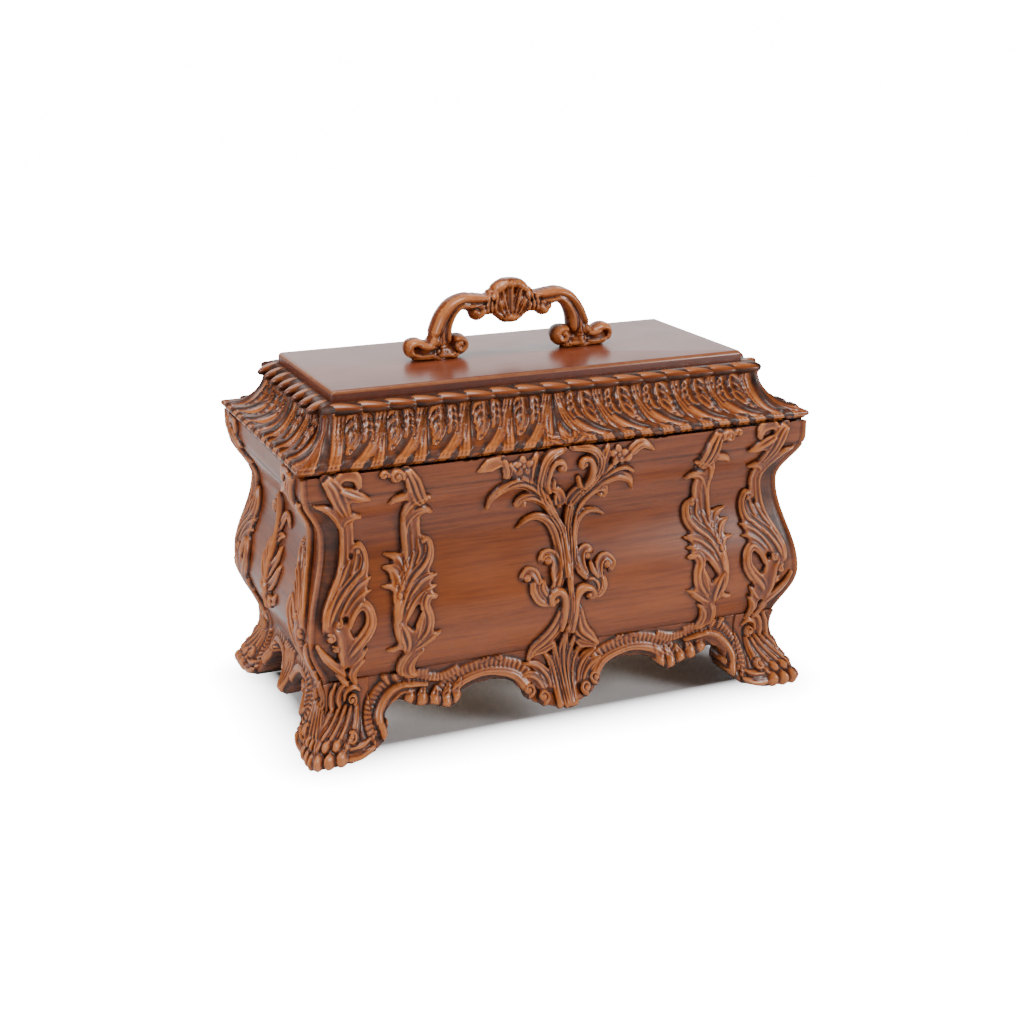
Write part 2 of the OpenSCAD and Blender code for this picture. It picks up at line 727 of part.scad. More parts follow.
// Section of the lid frame: distance in from the lip, and height.
frame_section = concat(
    [for (a = [-80 : 20 : 70]) [lip_r - lip_r * cos(a), lip_z + lip_r * sin(a)]],
    [for (a = [12 : 12 : 84]) [cove_start + (cove_in - cove_start) * sin(a),
                               shoulder_h - (shoulder_h - lip_z - lip_r) * cos(a)]],
    [[cove_in, shoulder_h], [board_in, shoulder_h], [board_in, board_z0], [ledge_in, board_z0],
     [ledge_in, ledge_z], [lid_wall, ledge_z], [lid_wall, lid_z0]]);
gadroon_section = [[cove_in, shoulder_h], [cove_in - 1.4, shoulder_h + 1.5], [cove_in - 2.3, shoulder_h + 3.5],
    [cove_in - 1.5, shoulder_h + 5.4], [cove_in + 1.5, shoulder_h + 7], [board_in - 2, shoulder_h + 7.6],
    [board_in, shoulder_h + 7]];

module long_moulding(section) {
    intersection() {
        along_x(2 * lid_hw) polygon([for (p = section) [-lid_hd + p[0], p[1]]]);
        front_mitre(lid_hw, lid_hd);
    }
}
module short_moulding(section) {
    intersection() {
        along_y(2 * lid_hd) polygon([for (p = section) [-lid_hw + p[0], p[1]]]);
        left_mitre(lid_hw, lid_hd);
    }
}
module lid_front_frame() { color(mahogany) long_moulding(frame_section); }
module lid_back_frame() {
    color(mahogany) difference() {
        rotate(180) long_moulding(frame_section);
        for (s = [-1, 1]) translate([s * hinge_x, 0, 0]) {
            block([-hinge_len / 2 - 0.1, hinge_y - leaf_reach - 0.1, rim_h - 9],
                  [hinge_len / 2 + 0.1, hinge_y + 9, lid_z0 + leaf_t]);
            leaf_screws() mirror([0, 0, 1]) wood_screw_hole(hinge_screw_r, -lid_z0);
            knuckle_room();
        }
    }
}
module lid_left_frame() { color(mahogany) short_moulding(frame_section); }
module lid_right_frame() { color(mahogany) rotate(180) short_moulding(frame_section); }
module gadroon_strips() {
    color(mahogany) for (a = [0, 180]) rotate(a) {
        translate([0, -joint, 0]) long_moulding(gadroon_section);
        short_moulding(gadroon_section);
    }
}
module lid_top_board() {
    bx = lid_hw - board_in;
    by = lid_hd - board_in;
    color("brown") difference() {
        block([-bx, -by, board_z0], [bx, by, lid_top]);
        handle_bores();
    }
}
module lid_lining() {
    bx = lid_hw - ledge_in;
    by = lid_hd - ledge_in;
    color(plush) difference() {
        block([-bx, -by, board_z0 - 2.5], [bx, by, board_z0]);
        at_handle_screws() translate([0, 0, -9]) cylinder(h = 20, r = 4);
    }
}

// Right half of the handle's outline: share of the half width, height above
// the lid as a share of the full height, from the crown round to the underside.
handle_edge = [[0, 1], [0.08, 0.98], [0.14, 0.92], [0.19, 0.86], [0.26, 0.83], [0.42, 0.83], [0.53, 0.79],
    [0.62, 0.69], [0.69, 0.55], [0.74, 0.37], [0.78, 0.25], [0.85, 0.23], [0.91, 0.27], [0.98, 0.26],
    [1, 0.17], [0.98, 0.06], [0.93, 0], [0.48, 0], [0.43, 0.07], [0.41, 0.17], [0.44, 0.27], [0.5, 0.33],
    [0.54, 0.39], [0.56, 0.49], [0.54, 0.58], [0.48, 0.64], [0.43, 0.63], [0.38, 0.54], [0.32, 0.48],
    [0.26, 0.5], [0.21, 0.54], [0.14, 0.52], [0.08, 0.45], [0, 0.42]];
module handle() {
    n = len(handle_edge) - 1;
    color(mahogany) difference() {
        translate([0, 0, lid_top]) along_y(handle_t) polygon(concat(
            [for (p = handle_edge) [p[0] * handle_w / 2, p[1] * handle_h]],
            [for (i = [n - 1 : -1 : 1]) [-handle_edge[i][0] * handle_w / 2, handle_edge[i][1] * handle_h]]));
        at_handle_screws() cylinder(h = board_t + handle_bite + 0.3, r = handle_screw_r + 0.02);
    }
}
handle_screw_r = 1.75;
handle_bite = 9;
module at_handle_screws() {
    for (s = [-1, 1]) translate([s * handle_w * 0.3, 0, board_z0]) children();
}
module handle_bores() {
    at_handle_screws() {
        translate([0, 0, -1]) cylinder(h = 3.1, r = 3.6);
        cylinder(h = 40, r = handle_screw_r + 0.02);
    }
}
module handle_screws() {
    color(steel) at_handle_screws() {
        cylinder(h = 2, r = 3.5);
        cylinder(h = board_t + handle_bite, r = handle_screw_r);
    }
}

// ---------------------------------------------------------------- hinges
hinge_y = half_d - band_in + knuckle_r + 0.4;
hinge_z = rim_h + seam / 2;
leaf_reach = 18;
hinge_pin_r = 1;
hinge_screw_r = 1;
knuckles = 5;
knuckle_len = hinge_len / knuckles;
module leaf_screws() {
    for (k = [-1, 0, 1]) translate([k * hinge_len * 0.34, hinge_y - leaf_reach + 6, 0]) children();
}
// Hole for a small wood screw that goes down from height z.
module wood_screw_hole(r, z) { translate([0, 0, z - 9]) cylinder(h = 20, r = r + 0.02); }
module wood_screw(r, z) {
    translate([0, 0, z - 8.5]) cylinder(h = 8.5, r = r);
    translate([0, 0, z - 1]) cylinder(h = 1, r1 = r, r2 = 2 * r);
}
module screw_sink(r, z) { translate([0, 0, z - 1]) cylinder(h = 1.001, r1 = r + 0.02, r2 = 2 * r + 0.02); }
module knuckle_at(i, r) {
    translate([-hinge_len / 2 + i * knuckle_len + 0.1, hinge_y, hinge_z]) rod(0, knuckle_len - 0.2, r);
}
module knuckle_room() {
    translate([-hinge_len / 2 - 0.3, hinge_y, hinge_z]) rod(0, hinge_len + 0.6, knuckle_r + 0.5);
}
// One leaf: its plate lies between z0 and z1 and joins the knuckles in list.
module leaf(z0, z1, list) {
    difference() {
        union() {
            block([-hinge_len / 2, hinge_y - leaf_reach, z0], [hinge_len / 2, hinge_y - knuckle_r - 0.4, z1]);
            for (i = list) {
                x0 = -hinge_len / 2 + i * knuckle_len + 0.1;
                block([x0, hinge_y - knuckle_r - 0.5, z0], [x0 + knuckle_len - 0.2, hinge_y - 0.2, z1]);
                knuckle_at(i, knuckle_r);
            }
        }
        translate([0, hinge_y, hinge_z]) rod(-hinge_len, hinge_len, hinge_pin_r + run);
    }
}
module hinge_fixed_leaves() {
    color(brass) for (s = [-1, 1]) translate([s * hinge_x, 0, 0]) difference() {
        leaf(rim_h - leaf_t, rim_h, [0, 2, 4]);
        leaf_screws() {
            wood_screw_hole(hinge_screw_r, rim_h);
            screw_sink(hinge_screw_r, rim_h);
        }
    }
}
module hinge_moving_leaves() {
    color(brass) for (s = [-1, 1]) translate([s * hinge_x, 0, 0]) difference() {
        leaf(lid_z0, lid_z0 + leaf_t, [1, 3]);
        leaf_screws() mirror([0, 0, 1]) {
            wood_screw_hole(hinge_screw_r, -lid_z0);
            screw_sink(hinge_screw_r, -lid_z0);
        }
    }
}
module hinge_pins() {
    color(brass) for (s = [-1, 1]) translate([s * hinge_x, hinge_y, hinge_z]) {
        rod(-hinge_len / 2 - 0.4, hinge_len / 2 + 0.4, hinge_pin_r);
        for (e = [-1, 1]) translate([e * (hinge_len / 2 + 0.4 + 0.5), 0, 0]) rod(-0.5, 0.5, hinge_pin_r + 0.5);
    }
}
module hinge_screws_case() {
    color(brass) for (s = [-1, 1]) translate([s * hinge_x, 0, 0]) leaf_screws() wood_screw(hinge_screw_r, rim_h);
}
module hinge_screws_lid() {
    color(brass) for (s = [-1, 1]) translate([s * hinge_x, 0, 0])
        leaf_screws() mirror([0, 0, 1]) wood_screw(hinge_screw_r, -lid_z0);
}

front_panel();
back_panel();
left_end_panel();
right_end_panel();
bottom_board();
front_apron();
back_apron();
left_apron();
right_apron();
foot_front_left();
foot_front_right();
foot_back_left();
foot_back_right();
foot_screws();
glue_blocks();
front_spray();
back_spray();
leaf_drops();
left_end_spray();
corner_leaves_front();
corner_leaves_back();
partition();
compartment_lining();
soundboard();
soundboard_cleats();
bedplate();
movement_screws();
cylinder_bracket();
train_plates();
comb_base();
comb();
comb_screws();
crank_bush();
crank_escutcheon();
hinge_fixed_leaves();
hinge_pins();
hinge_screws_case();
lid_front_frame();
lid_back_frame();
lid_left_frame();
lid_right_frame();
lid_top_board();
gadroon_strips();
lid_lining();
handle();
handle_screws();
hinge_moving_leaves();
hinge_screws_lid();
crank_shaft();
crank_pinion();
crank_arm();
crank_nut();
knob_pin();
crank_knob();
idler_arbor();
idler_wheel();
cylinder_drum();
cylinder_pins();
cylinder_arbor();
cylinder_wheel();
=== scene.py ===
"""Looks of a hand-cranked music box in a carved, swelling mahogany case.

Lengths inside the carving classes are millimetres; meshes are made in metres,
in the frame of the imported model.
"""

import logging
import math
from dataclasses import dataclass, field, replace
from enum import Enum
from typing import Callable, Sequence

import bpy
import numpy as np
from mathutils import Matrix, Vector

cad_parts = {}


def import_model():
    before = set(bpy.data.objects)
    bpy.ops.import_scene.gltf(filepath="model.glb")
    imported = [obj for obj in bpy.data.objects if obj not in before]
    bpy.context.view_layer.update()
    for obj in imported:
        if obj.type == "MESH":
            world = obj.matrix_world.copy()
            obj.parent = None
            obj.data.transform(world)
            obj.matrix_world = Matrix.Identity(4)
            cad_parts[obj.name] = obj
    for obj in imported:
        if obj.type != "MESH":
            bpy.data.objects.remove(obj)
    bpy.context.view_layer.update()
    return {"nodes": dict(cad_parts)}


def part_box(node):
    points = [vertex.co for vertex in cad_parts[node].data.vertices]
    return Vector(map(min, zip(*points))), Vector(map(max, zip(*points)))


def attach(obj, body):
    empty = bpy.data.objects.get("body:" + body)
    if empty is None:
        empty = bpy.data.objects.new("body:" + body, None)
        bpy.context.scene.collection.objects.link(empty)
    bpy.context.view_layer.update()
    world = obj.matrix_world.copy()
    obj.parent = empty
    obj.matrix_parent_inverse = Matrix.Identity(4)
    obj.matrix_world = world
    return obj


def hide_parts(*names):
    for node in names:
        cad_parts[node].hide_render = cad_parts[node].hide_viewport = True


log = logging.getLogger("music_box")

MM = 0.001
Array = np.ndarray
Point = tuple[float, float]
Colour = tuple[float, float, float]
Rule = Callable[[Array, Array], Array]

BARE = 0.3  # heights up to this count as bare face
BACK_PAINTED_SHADE = -0.3  # painted shade on surfaces behind the carving


# Carving: a field of heights over a face, built up from strokes
class Section(Enum):
    """Cross-section of a carved strand."""

    ROUND = "round"
    RIDGE = "ridge"
    SPOON = "spoon"
    REED = "reed"
    LEAF = "leaf"
    HALF = "half"


def section_height(kind: Section, s: Array) -> Array:
    """Height of a strand across its width.

    Args:
        kind: the section.
        s: place across the strand, -1 to 1.

    Returns:
        The height as a share of the strand's full height.
    """
    a = np.clip(np.abs(s), 0.0, 1.0)
    if kind is Section.ROUND:
        return np.sqrt(1.0 - a**2)
    if kind is Section.RIDGE:
        return (1.0 - a**1.4) * 0.8 + 0.2 * (1.0 - a**8)
    if kind is Section.SPOON:
        return (0.42 + 0.58 * a**2) * (1.0 - a**12)
    if kind is Section.REED:
        return (1.0 - a**6) * (0.8 + 0.2 * np.cos(3.0 * math.pi * s))
    if kind is Section.LEAF:
        flute = 0.52 + 0.48 * np.abs(np.cos(math.pi * s)) ** 1.6
        return flute * (1.0 - a**9) * (0.86 + 0.14 * s)
    return (0.45 + 0.55 * np.clip(0.5 + 0.5 * s, 0, 1) ** 1.5) * (1.0 - a**9)


def spline(points: Sequence[Point], per_span: int = 8) -> Array:
    """Smooth line through given points.

    Args:
        points: the points, each with any number of values.
        per_span: steps between two neighbouring points.

    Returns:
        An array with one row for each step.
    """
    p = np.asarray(points, float)
    if len(p) == 2:
        t = np.linspace(0.0, 1.0, per_span + 1)[:, None]
        return p[0] * (1 - t) + p[1] * t
    q = np.vstack([2 * p[0] - p[1], p, 2 * p[-1] - p[-2]])
    rows = []
    for i in range(1, len(q) - 2):
        t = np.linspace(0.0, 1.0, per_span, endpoint=False)[:, None]
        a, b, c, d = q[i - 1], q[i], q[i + 1], q[i + 2]
        rows.append(0.5 * (2 * b + (c - a) * t + (2 * a - 5 * b + 4 * c - d) * t**2 + (3 * b - a - 3 * c + d) * t**3))
    return np.vstack(rows + [p[-1:]])


def curl(centre: Point, radius: float, start: float, turns: float, end_radius: float = 0.8) -> list[Point]:
    """Points along a spiral that winds in to its centre.

    Args:
        centre: the eye of the spiral.
        radius: radius where it starts.
        start: angle where it starts, in degrees.
        turns: turns inwards, negative for clockwise.
        end_radius: radius where it ends.

    Returns:
        The points, from the outside in.
    """
    steps = max(5, int(abs(turns) * 10))
    out = []
    for i in range(steps + 1):
        f = i / steps
        r = radius + (end_radius - radius) * f**0.8
        a = math.radians(start) + 2 * math.pi * turns * f
        out.append((centre[0] + r * math.cos(a), centre[1] + r * math.sin(a)))
    return out


def blur(field_: Array, radius: float) -> Array:
    """Soften a field of numbers.

    Args:
        field_: the field.
        radius: reach in cells.

    Returns:
        The softened field, of the same shape.
    """
    n = max(1, int(round(radius)))
    out = field_.astype(float)
    for _ in range(2):
        for axis in (0, 1):
            pad = [(0, 0), (0, 0)]
            pad[axis] = (n + 1, n)
            c = np.cumsum(np.pad(out, pad, mode="edge"), axis=axis)
            size = out.shape[axis]
            hi = np.take(c, range(2 * n + 1, 2 * n + 1 + size), axis=axis)
            lo = np.take(c, range(0, size), axis=axis)
            out = (hi - lo) / (2 * n + 1)
    return out


def bulge(x: Array, at: float, width: float, height: float) -> Array:
    """A soft rounded line across a face.

    Args:
        x: distances across the face.
        at: where its middle lies.
        width: half width.
        height: height of its middle.

    Returns:
        The heights.
    """
    return height * np.exp(-(((x - at) / width) ** 2))


class Canvas:
    """Heights of carved work over a rectangle of a face, in millimetres."""

    def __init__(self, u0: float, u1: float, v0: float, v1: float, step: float = 0.5) -> None:
        """Make an empty canvas from (u0, v0) to (u1, v1)."""
        self.u0, self.v0, self.step = u0, v0, step
        self.us = np.arange(u0, u1 + step / 2, step)
        self.vs = np.arange(v0, v1 + step / 2, step)
        self.h = np.zeros((len(self.vs), len(self.us)))
        self.wear_and_painted_light: Array | None = None

    def _window(self, pts: Array, reach: float) -> tuple[tuple[slice, slice], Array, Array]:
        """Part of the canvas within reach of some points: its slices and its cells' places."""
        lo = (pts[:, :2].min(axis=0) - reach - (self.u0, self.v0)) / self.step
        hi = (pts[:, :2].max(axis=0) + reach - (self.u0, self.v0)) / self.step
        i0, j0 = max(0, int(lo[0])), max(0, int(lo[1]))
        i1, j1 = max(i0, int(hi[0]) + 2), max(j0, int(hi[1]) + 2)
        uu, vv = np.meshgrid(self.us[i0:i1], self.vs[j0:j1])
        return (slice(j0, j1), slice(i0, i1)), uu, vv

    @staticmethod
    def _nearest(line: Array, uu: Array, vv: Array) -> tuple[Array, Array, Array]:
        """Distance to a line of points, place along it from 0 to 1, and side."""
        best = np.full(uu.shape, 1e9)
        along = np.zeros(uu.shape)
        side = np.ones(uu.shape)
        n = len(line) - 1
        for i in range(n):
            a, b = line[i, :2], line[i + 1, :2]
            d = b - a
            ll = float(d @ d) + 1e-9
            t = np.clip(((uu - a[0]) * d[0] + (vv - a[1]) * d[1]) / ll, 0.0, 1.0)
            du, dv = uu - a[0] - t * d[0], vv - a[1] - t * d[1]
            dist = du * du + dv * dv
            near = dist < best
            best = np.where(near, dist, best)
            along = np.where(near, (i + t) / n, along)
            side = np.where(near, np.sign(d[0] * dv - d[1] * du + 1e-12), side)
        return np.sqrt(best), along, side

    def stroke(self, points: Sequence[Point], widths: Sequence[float], height: float,
               kind: Section = Section.ROUND, lift: float = 0.0, ends: Point = (0.0, 0.0),
               moat: float = 0.5) -> None:
        """Lay a strand of wood along a smooth line.

        Args:
            points: the line.
            widths: half widths, spread evenly along the line.
            height: greatest height of the strand.
            kind: its cross-section.
            lift: height added under all of it.
            ends: shares of the length over which it rises at its start and sinks at its end.
            moat: width of the cut round it where it crosses other work.
        """
        line = spline(points)
        part, uu, vv = self._window(line, max(widths) + moat + 1)
        dist, t, side = self._nearest(line, uu, vv)
        w = np.interp(t, np.linspace(0, 1, len(widths)), widths)
        rise = np.ones_like(t)
        for end, away in zip(ends, (t, 1 - t)):
            if end > 0:
                rise = rise * np.clip(away / end, 0.0, 1.0) ** 0.6
        s = side * dist / np.maximum(w, 0.05)
        new = (lift + height * section_height(kind, s)) * (0.25 + 0.75 * rise)
        old = self.h[part]
        ring = (dist >= w) & (dist < w + moat)
        old = np.where(ring & (old > BARE), old - 0.9 * rise, old)
        self.h[part] = np.where((dist < w) & (new > old), new, old)

    def groove(self, points: Sequence[Point], width: float, depth: float) -> None:
        """Cut a fine line into the work.

        Args:
            points: the line.
            width: half width of the cut.
            depth: depth in its middle.
        """
        line = spline(points)
        part, uu, vv = self._window(line, 3 * width)
        dist, t, _ = self._nearest(line, uu, vv)
        cut = depth * np.exp(-((dist / width) ** 2)) * np.clip(6 * np.minimum(t, 1 - t) + 0.3, 0, 1)
        old = self.h[part]
        self.h[part] = old - np.where(old > BARE, np.minimum(cut, old * 0.8), 0.0)

    def blob(self, centre: Point, radii: Point, height: float, angle: float = 0.0, moat: float = 0.5,
             hollow: float = 0.0) -> None:
        """Add a rounded lump.

        Args:
            centre: its middle.
            radii: its two half sizes.
            height: its height.
            angle: turn of its first half size from the u axis, in degrees.
            moat: width of the cut round it.
            hollow: depth of a dish in its top, as a share of the height.
        """
        c, s = math.cos(math.radians(angle)), math.sin(math.radians(angle))
        part, uu, vv = self._window(np.array([centre], float), max(radii) + moat + 1)
        a = ((uu - centre[0]) * c + (vv - centre[1]) * s) / radii[0]
        b = (-(uu - centre[0]) * s + (vv - centre[1]) * c) / radii[1]
        r = np.sqrt(a * a + b * b)
        new = height * (np.sqrt(np.clip(1 - r * r, 0, 1)) - hollow * np.exp(-((r / 0.55) ** 2)))
        old = self.h[part]
        ring = (r >= 1) & (r < 1 + moat / min(radii))
        old = np.where(ring & (old > BARE), old - 0.8, old)
        self.h[part] = np.where((r < 1) & (new > old), new, old)

    def web(self, level: float, reach: float = 3.0) -> None:
        """Leave wood standing between strands that lie close together.

        Args:
            level: height of the wood left.
            reach: how far apart strands still count as close.
        """
        near = blur(np.clip(self.h / 2.0, 0, 1), reach)
        self.h = np.maximum(self.h, level * np.clip((near - 0.5) / 0.2, 0, 1))

    def drill(self, centre: Point, radius: float, depth: float = 2.6) -> None:
        """Sink a round hole into the work.

        Args:
            centre: its middle.
            radius: its radius.
            depth: its depth.
        """
        part, uu, vv = self._window(np.array([centre], float), 2 * radius)
        r = np.hypot(uu - centre[0], vv - centre[1]) / radius
        self.h[part] = np.maximum(self.h[part] - depth * np.exp(-(r**4)), 0.0)

    def band(self, points: Sequence[Point], near: float, far: float, height: Rule) -> None:
        """Fill a band beside a line by a rule.

        Args:
            points: the line.
            near: signed distance from the line where the band starts.
            far: signed distance where it ends.
            height: gives the height for millimetres along and share across.
        """
        line = spline(points, 6)
        part, uu, vv = self._window(line, max(abs(near), abs(far)) + 1)
        dist, t, side = self._nearest(line, uu, vv)
        seg = np.hypot(*np.diff(line[:, :2], axis=0).T)
        arc = np.concatenate([[0], np.cumsum(seg)])
        along = np.interp(t, np.linspace(0, 1, len(arc)), arc)
        across = (side * dist - near) / (far - near)
        new = height(along, across)
        old = self.h[part]
        hit = (across > 0) & (across < 1) & (t > 0.001) & (t < 0.999)
        self.h[part] = np.where(hit & (new > old), new, old)

    def finish(self) -> None:
        """Ease the tool marks and work out the crests, painted lighter as rubbing with a painted highlight, and the
        hollows, painted darker as wax with painted shade.
        """
        self.h = 0.55 * self.h + 0.45 * blur(self.h, 1)
        fine = self.h - blur(self.h, 2.0)
        broad = self.h - blur(self.h, 6.0)
        self.wear_and_painted_light = np.clip(0.9 * fine + 0.35 * broad, -1.0, 1.0)

    def sample(self, grid: Array, u: Array, v: Array) -> Array:
        """Read a grid of the canvas between its cells."""
        fu = np.clip((u - self.u0) / self.step, 0, len(self.us) - 1.001)
        fv = np.clip((v - self.v0) / self.step, 0, len(self.vs) - 1.001)
        i, j = fu.astype(int), fv.astype(int)
        a, b = fu - i, fv - j
        return (grid[j, i] * (1 - a) * (1 - b) + grid[j, i + 1] * a * (1 - b)
                + grid[j + 1, i] * (1 - a) * b + grid[j + 1, i + 1] * a * b)

    def height_at(self, u: Array, v: Array) -> Array:
        """Height of the carving at some places."""
        return self.sample(self.h, u, v)

    def wear_and_painted_light_at(self, u: Array, v: Array) -> Array:
        """Rubbing and painted light at some places: above 0 on crests, painted lighter, below 0 in hollows, painted
        darker.
        """
        return self.sample(self.wear_and_painted_light, u, v)


def flipped(points: Sequence[Point], way: int = -1) -> list[Point]:
    """The points on the other side of the middle line, or left as they are where way is 1."""
    return [(way * p[0], p[1]) for p in points]


def inside(polygon: Array, u: Array, v: Array) -> Array:
    """Which places lie inside a closed outline.

    Args:
        polygon: the outline's corners.
        u: places across.
        v: places up.

    Returns:
        An array of truth values.
    """
    odd = np.zeros(u.shape, bool)
    n = len(polygon)
    for i in range(n):
        (x0, y0), (x1, y1) = polygon[i], polygon[(i + 1) % n]
        crosses = (y0 > v) != (y1 > v)
        if y0 != y1:
            odd ^= crosses & (u < (x1 - x0) * (v - y0) / (y1 - y0) + x0)
    return odd


# Meshes
def new_object(name: str, data: bpy.types.ID) -> bpy.types.Object:
    """Make an object and put it in the scene."""
    obj = bpy.data.objects.new(name, data)
    bpy.context.scene.collection.objects.link(obj)
    return obj


def new_mesh(name: str, verts: Array, faces: Sequence[Sequence[int]], wear_and_painted_light: Array | None) -> bpy.types.Mesh:
    """A mesh from corners in millimetres, with the rubbing and painted light of each corner where there is one."""
    mesh = bpy.data.meshes.new(name)
    mesh.from_pydata((np.asarray(verts, float) * MM).tolist(), [], [tuple(map(int, f)) for f in faces])
    mesh.validate(clean_customdata=False)
    mesh.polygons.foreach_set("use_smooth", [True] * len(mesh.polygons))
    if wear_and_painted_light is not None:
        layer = mesh.attributes.new("wear_and_painted_light", "FLOAT", "POINT")
        layer.data.foreach_set("value", np.asarray(wear_and_painted_light, np.float32))
    return mesh


def fasten(obj: bpy.types.Object, body: str, stands_for: Sequence[str]) -> bpy.types.Object:
    """Fasten a piece to its body; the arguments are those of make_piece."""
    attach(obj, body)
    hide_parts(*stands_for)
    log.info("%s: %d faces", obj.name, len(obj.data.polygons))
    return obj


def make_piece(name: str, verts: Array, faces: Sequence[Sequence[int]], material: bpy.types.Material,
               body: str, stands_for: Sequence[str], wear_and_painted_light: Array | None = None) -> bpy.types.Object:
    """Make a mesh object, dress it and fasten it to its body.

    Args:
        name: the piece's name.
        verts: corners in millimetres, one row each.
        faces: lists of corner numbers.
        material: its finish.
        body: the body it rides on.
        stands_for: CAD nodes that it replaces.
        wear_and_painted_light: value for each corner that the finish reads as rubbing with a painted highlight on
            crests, and wax with painted shade in hollows.

    Returns:
        The object.
    """
    obj = new_object(name, new_mesh(name, verts, faces, wear_and_painted_light))
    obj.data.materials.append(material)
    obj.data.update()
    return fasten(obj, body, stands_for)


@dataclass
class Shell:
    """Corners and faces of a closed piece, gathered part by part."""

    verts: list[Array] = field(default_factory=list)
    faces: list[Array] = field(default_factory=list)
    wear_and_painted_light: list[Array] = field(default_factory=list)
    count: int = 0

    def add(self, verts: Array, faces: Array, wear_and_painted_light: Array | None = None) -> None:
        """Add corners and the faces between them, numbered from the new corners' start."""
        v = np.asarray(verts, float).reshape(-1, 3)
        self.verts.append(v)
        self.faces.extend((np.asarray(faces, int) + self.count).tolist())
        self.wear_and_painted_light.append(np.zeros(len(v)) if wear_and_painted_light is None else np.asarray(wear_and_painted_light, float).ravel())
        self.count += len(v)

    def build(self, name: str, material: bpy.types.Material, body: str, slot: str,
              stands_for: Sequence[str]) -> bpy.types.Object:
        """Make the piece's object; slot is not used, and the other arguments are those of make_piece."""
        return make_piece(name, np.vstack(self.verts), self.faces, material, body, stands_for,
                          np.concatenate(self.wear_and_painted_light))


def numbered(rows: int, cols: int) -> Array:
    """The corner numbers of a grid."""
    return np.arange(rows * cols).reshape(rows, cols)


def rim(keep: Array) -> Array:
    """The outline of a cut-out as pairs of corner numbers.

    Args:
        keep: which cells of the grid are kept.

    Returns:
        One row for each piece of outline, with the kept cell on its right.
    """
    number = numbered(keep.shape[0] + 1, keep.shape[1] + 1)
    a, b, c, d = number[:-1, :-1], number[:-1, 1:], number[1:, 1:], number[1:, :-1]
    k = np.pad(keep, 1)
    return np.vstack([np.stack(pair, -1)[keep & ~beside] for pair, beside in (
        ((b, a), k[:-2, 1:-1]), ((d, c), k[2:, 1:-1]), ((a, d), k[1:-1, :-2]), ((c, b), k[1:-1, 2:]))])


def closed_patch(front: Array, back: Array, keep: Array, wear_and_painted_light: Array) -> tuple[Array, Array, Array]:
    """Close a grid of points over a second grid behind it.

    Args:
        front: outer points, rows x columns x 3, seen from outside with columns to the right and rows up.
        back: inner points of the same shape.
        keep: which cells are kept, one less each way.
        wear_and_painted_light: rubbing and painted light of the outer points; the points behind get painted shade.

    Returns:
        Corners, four-sided faces and wear.
    """
    number = numbered(*front.shape[:2])
    total = number.size
    outer = np.stack([number[:-1, :-1], number[:-1, 1:], number[1:, 1:], number[1:, :-1]], -1)[keep]
    start, end = rim(keep).T
    walls = np.stack([start, end, end + total, start + total], -1)
    faces = np.vstack([outer, outer[:, ::-1] + total, walls])
    verts = np.vstack([front.reshape(-1, 3), back.reshape(-1, 3)])
    tone = np.concatenate([wear_and_painted_light.ravel(), np.full(total, BACK_PAINTED_SHADE)])
    used = np.unique(faces)
    remap = np.full(2 * total, -1)
    remap[used] = np.arange(len(used))
    return verts[used], remap[faces], tone[used]


def eased_outline(u: Array, v: Array, keep: Array, passes: int = 4) -> tuple[Array, Array]:
    """Draw the stepped edge of a cut-out into a smooth line.

    Args:
        u: places across, rows x columns.
        v: places up.
        keep: the kept cells.
        passes: how many times the edge is eased.

    Returns:
        The eased places.
    """
    edge = rim(keep)
    uv = np.stack([u.ravel(), v.ravel()], -1).astype(float)
    near = np.bincount(edge.ravel(), minlength=len(uv))
    on = near > 0
    for _ in range(passes):
        total = np.zeros_like(uv)
        for here, there in (edge.T, edge.T[::-1]):
            np.add.at(total, here, uv[there])
        uv[on] = 0.5 * uv[on] + 0.5 * total[on] / near[on][:, None]
    return uv[:, 0].reshape(u.shape), uv[:, 1].reshape(u.shape)


# The case's shape
class Side(Enum):
    """A side of the case and how far it is turned from the front, in quarter turns."""

    FRONT = 0
    RIGHT = 1
    BACK = 2
    LEFT = 3

    @property
    def long(self) -> bool:
        """Whether it is the front or the back."""
        return self.value % 2 == 0

    def halves(self, half_w: float, half_d: float) -> Point:
        """Distance of the side from the middle, and its half length."""
        return (half_d, half_w) if self.long else (half_w, half_d)

    def turned(self, x: Array, y: Array, z: Array) -> Array:
        """Points drawn for the front, turned to this side."""
        for _ in range(self.value):
            x, y = -y, x
        return np.stack([x, y, z], -1)


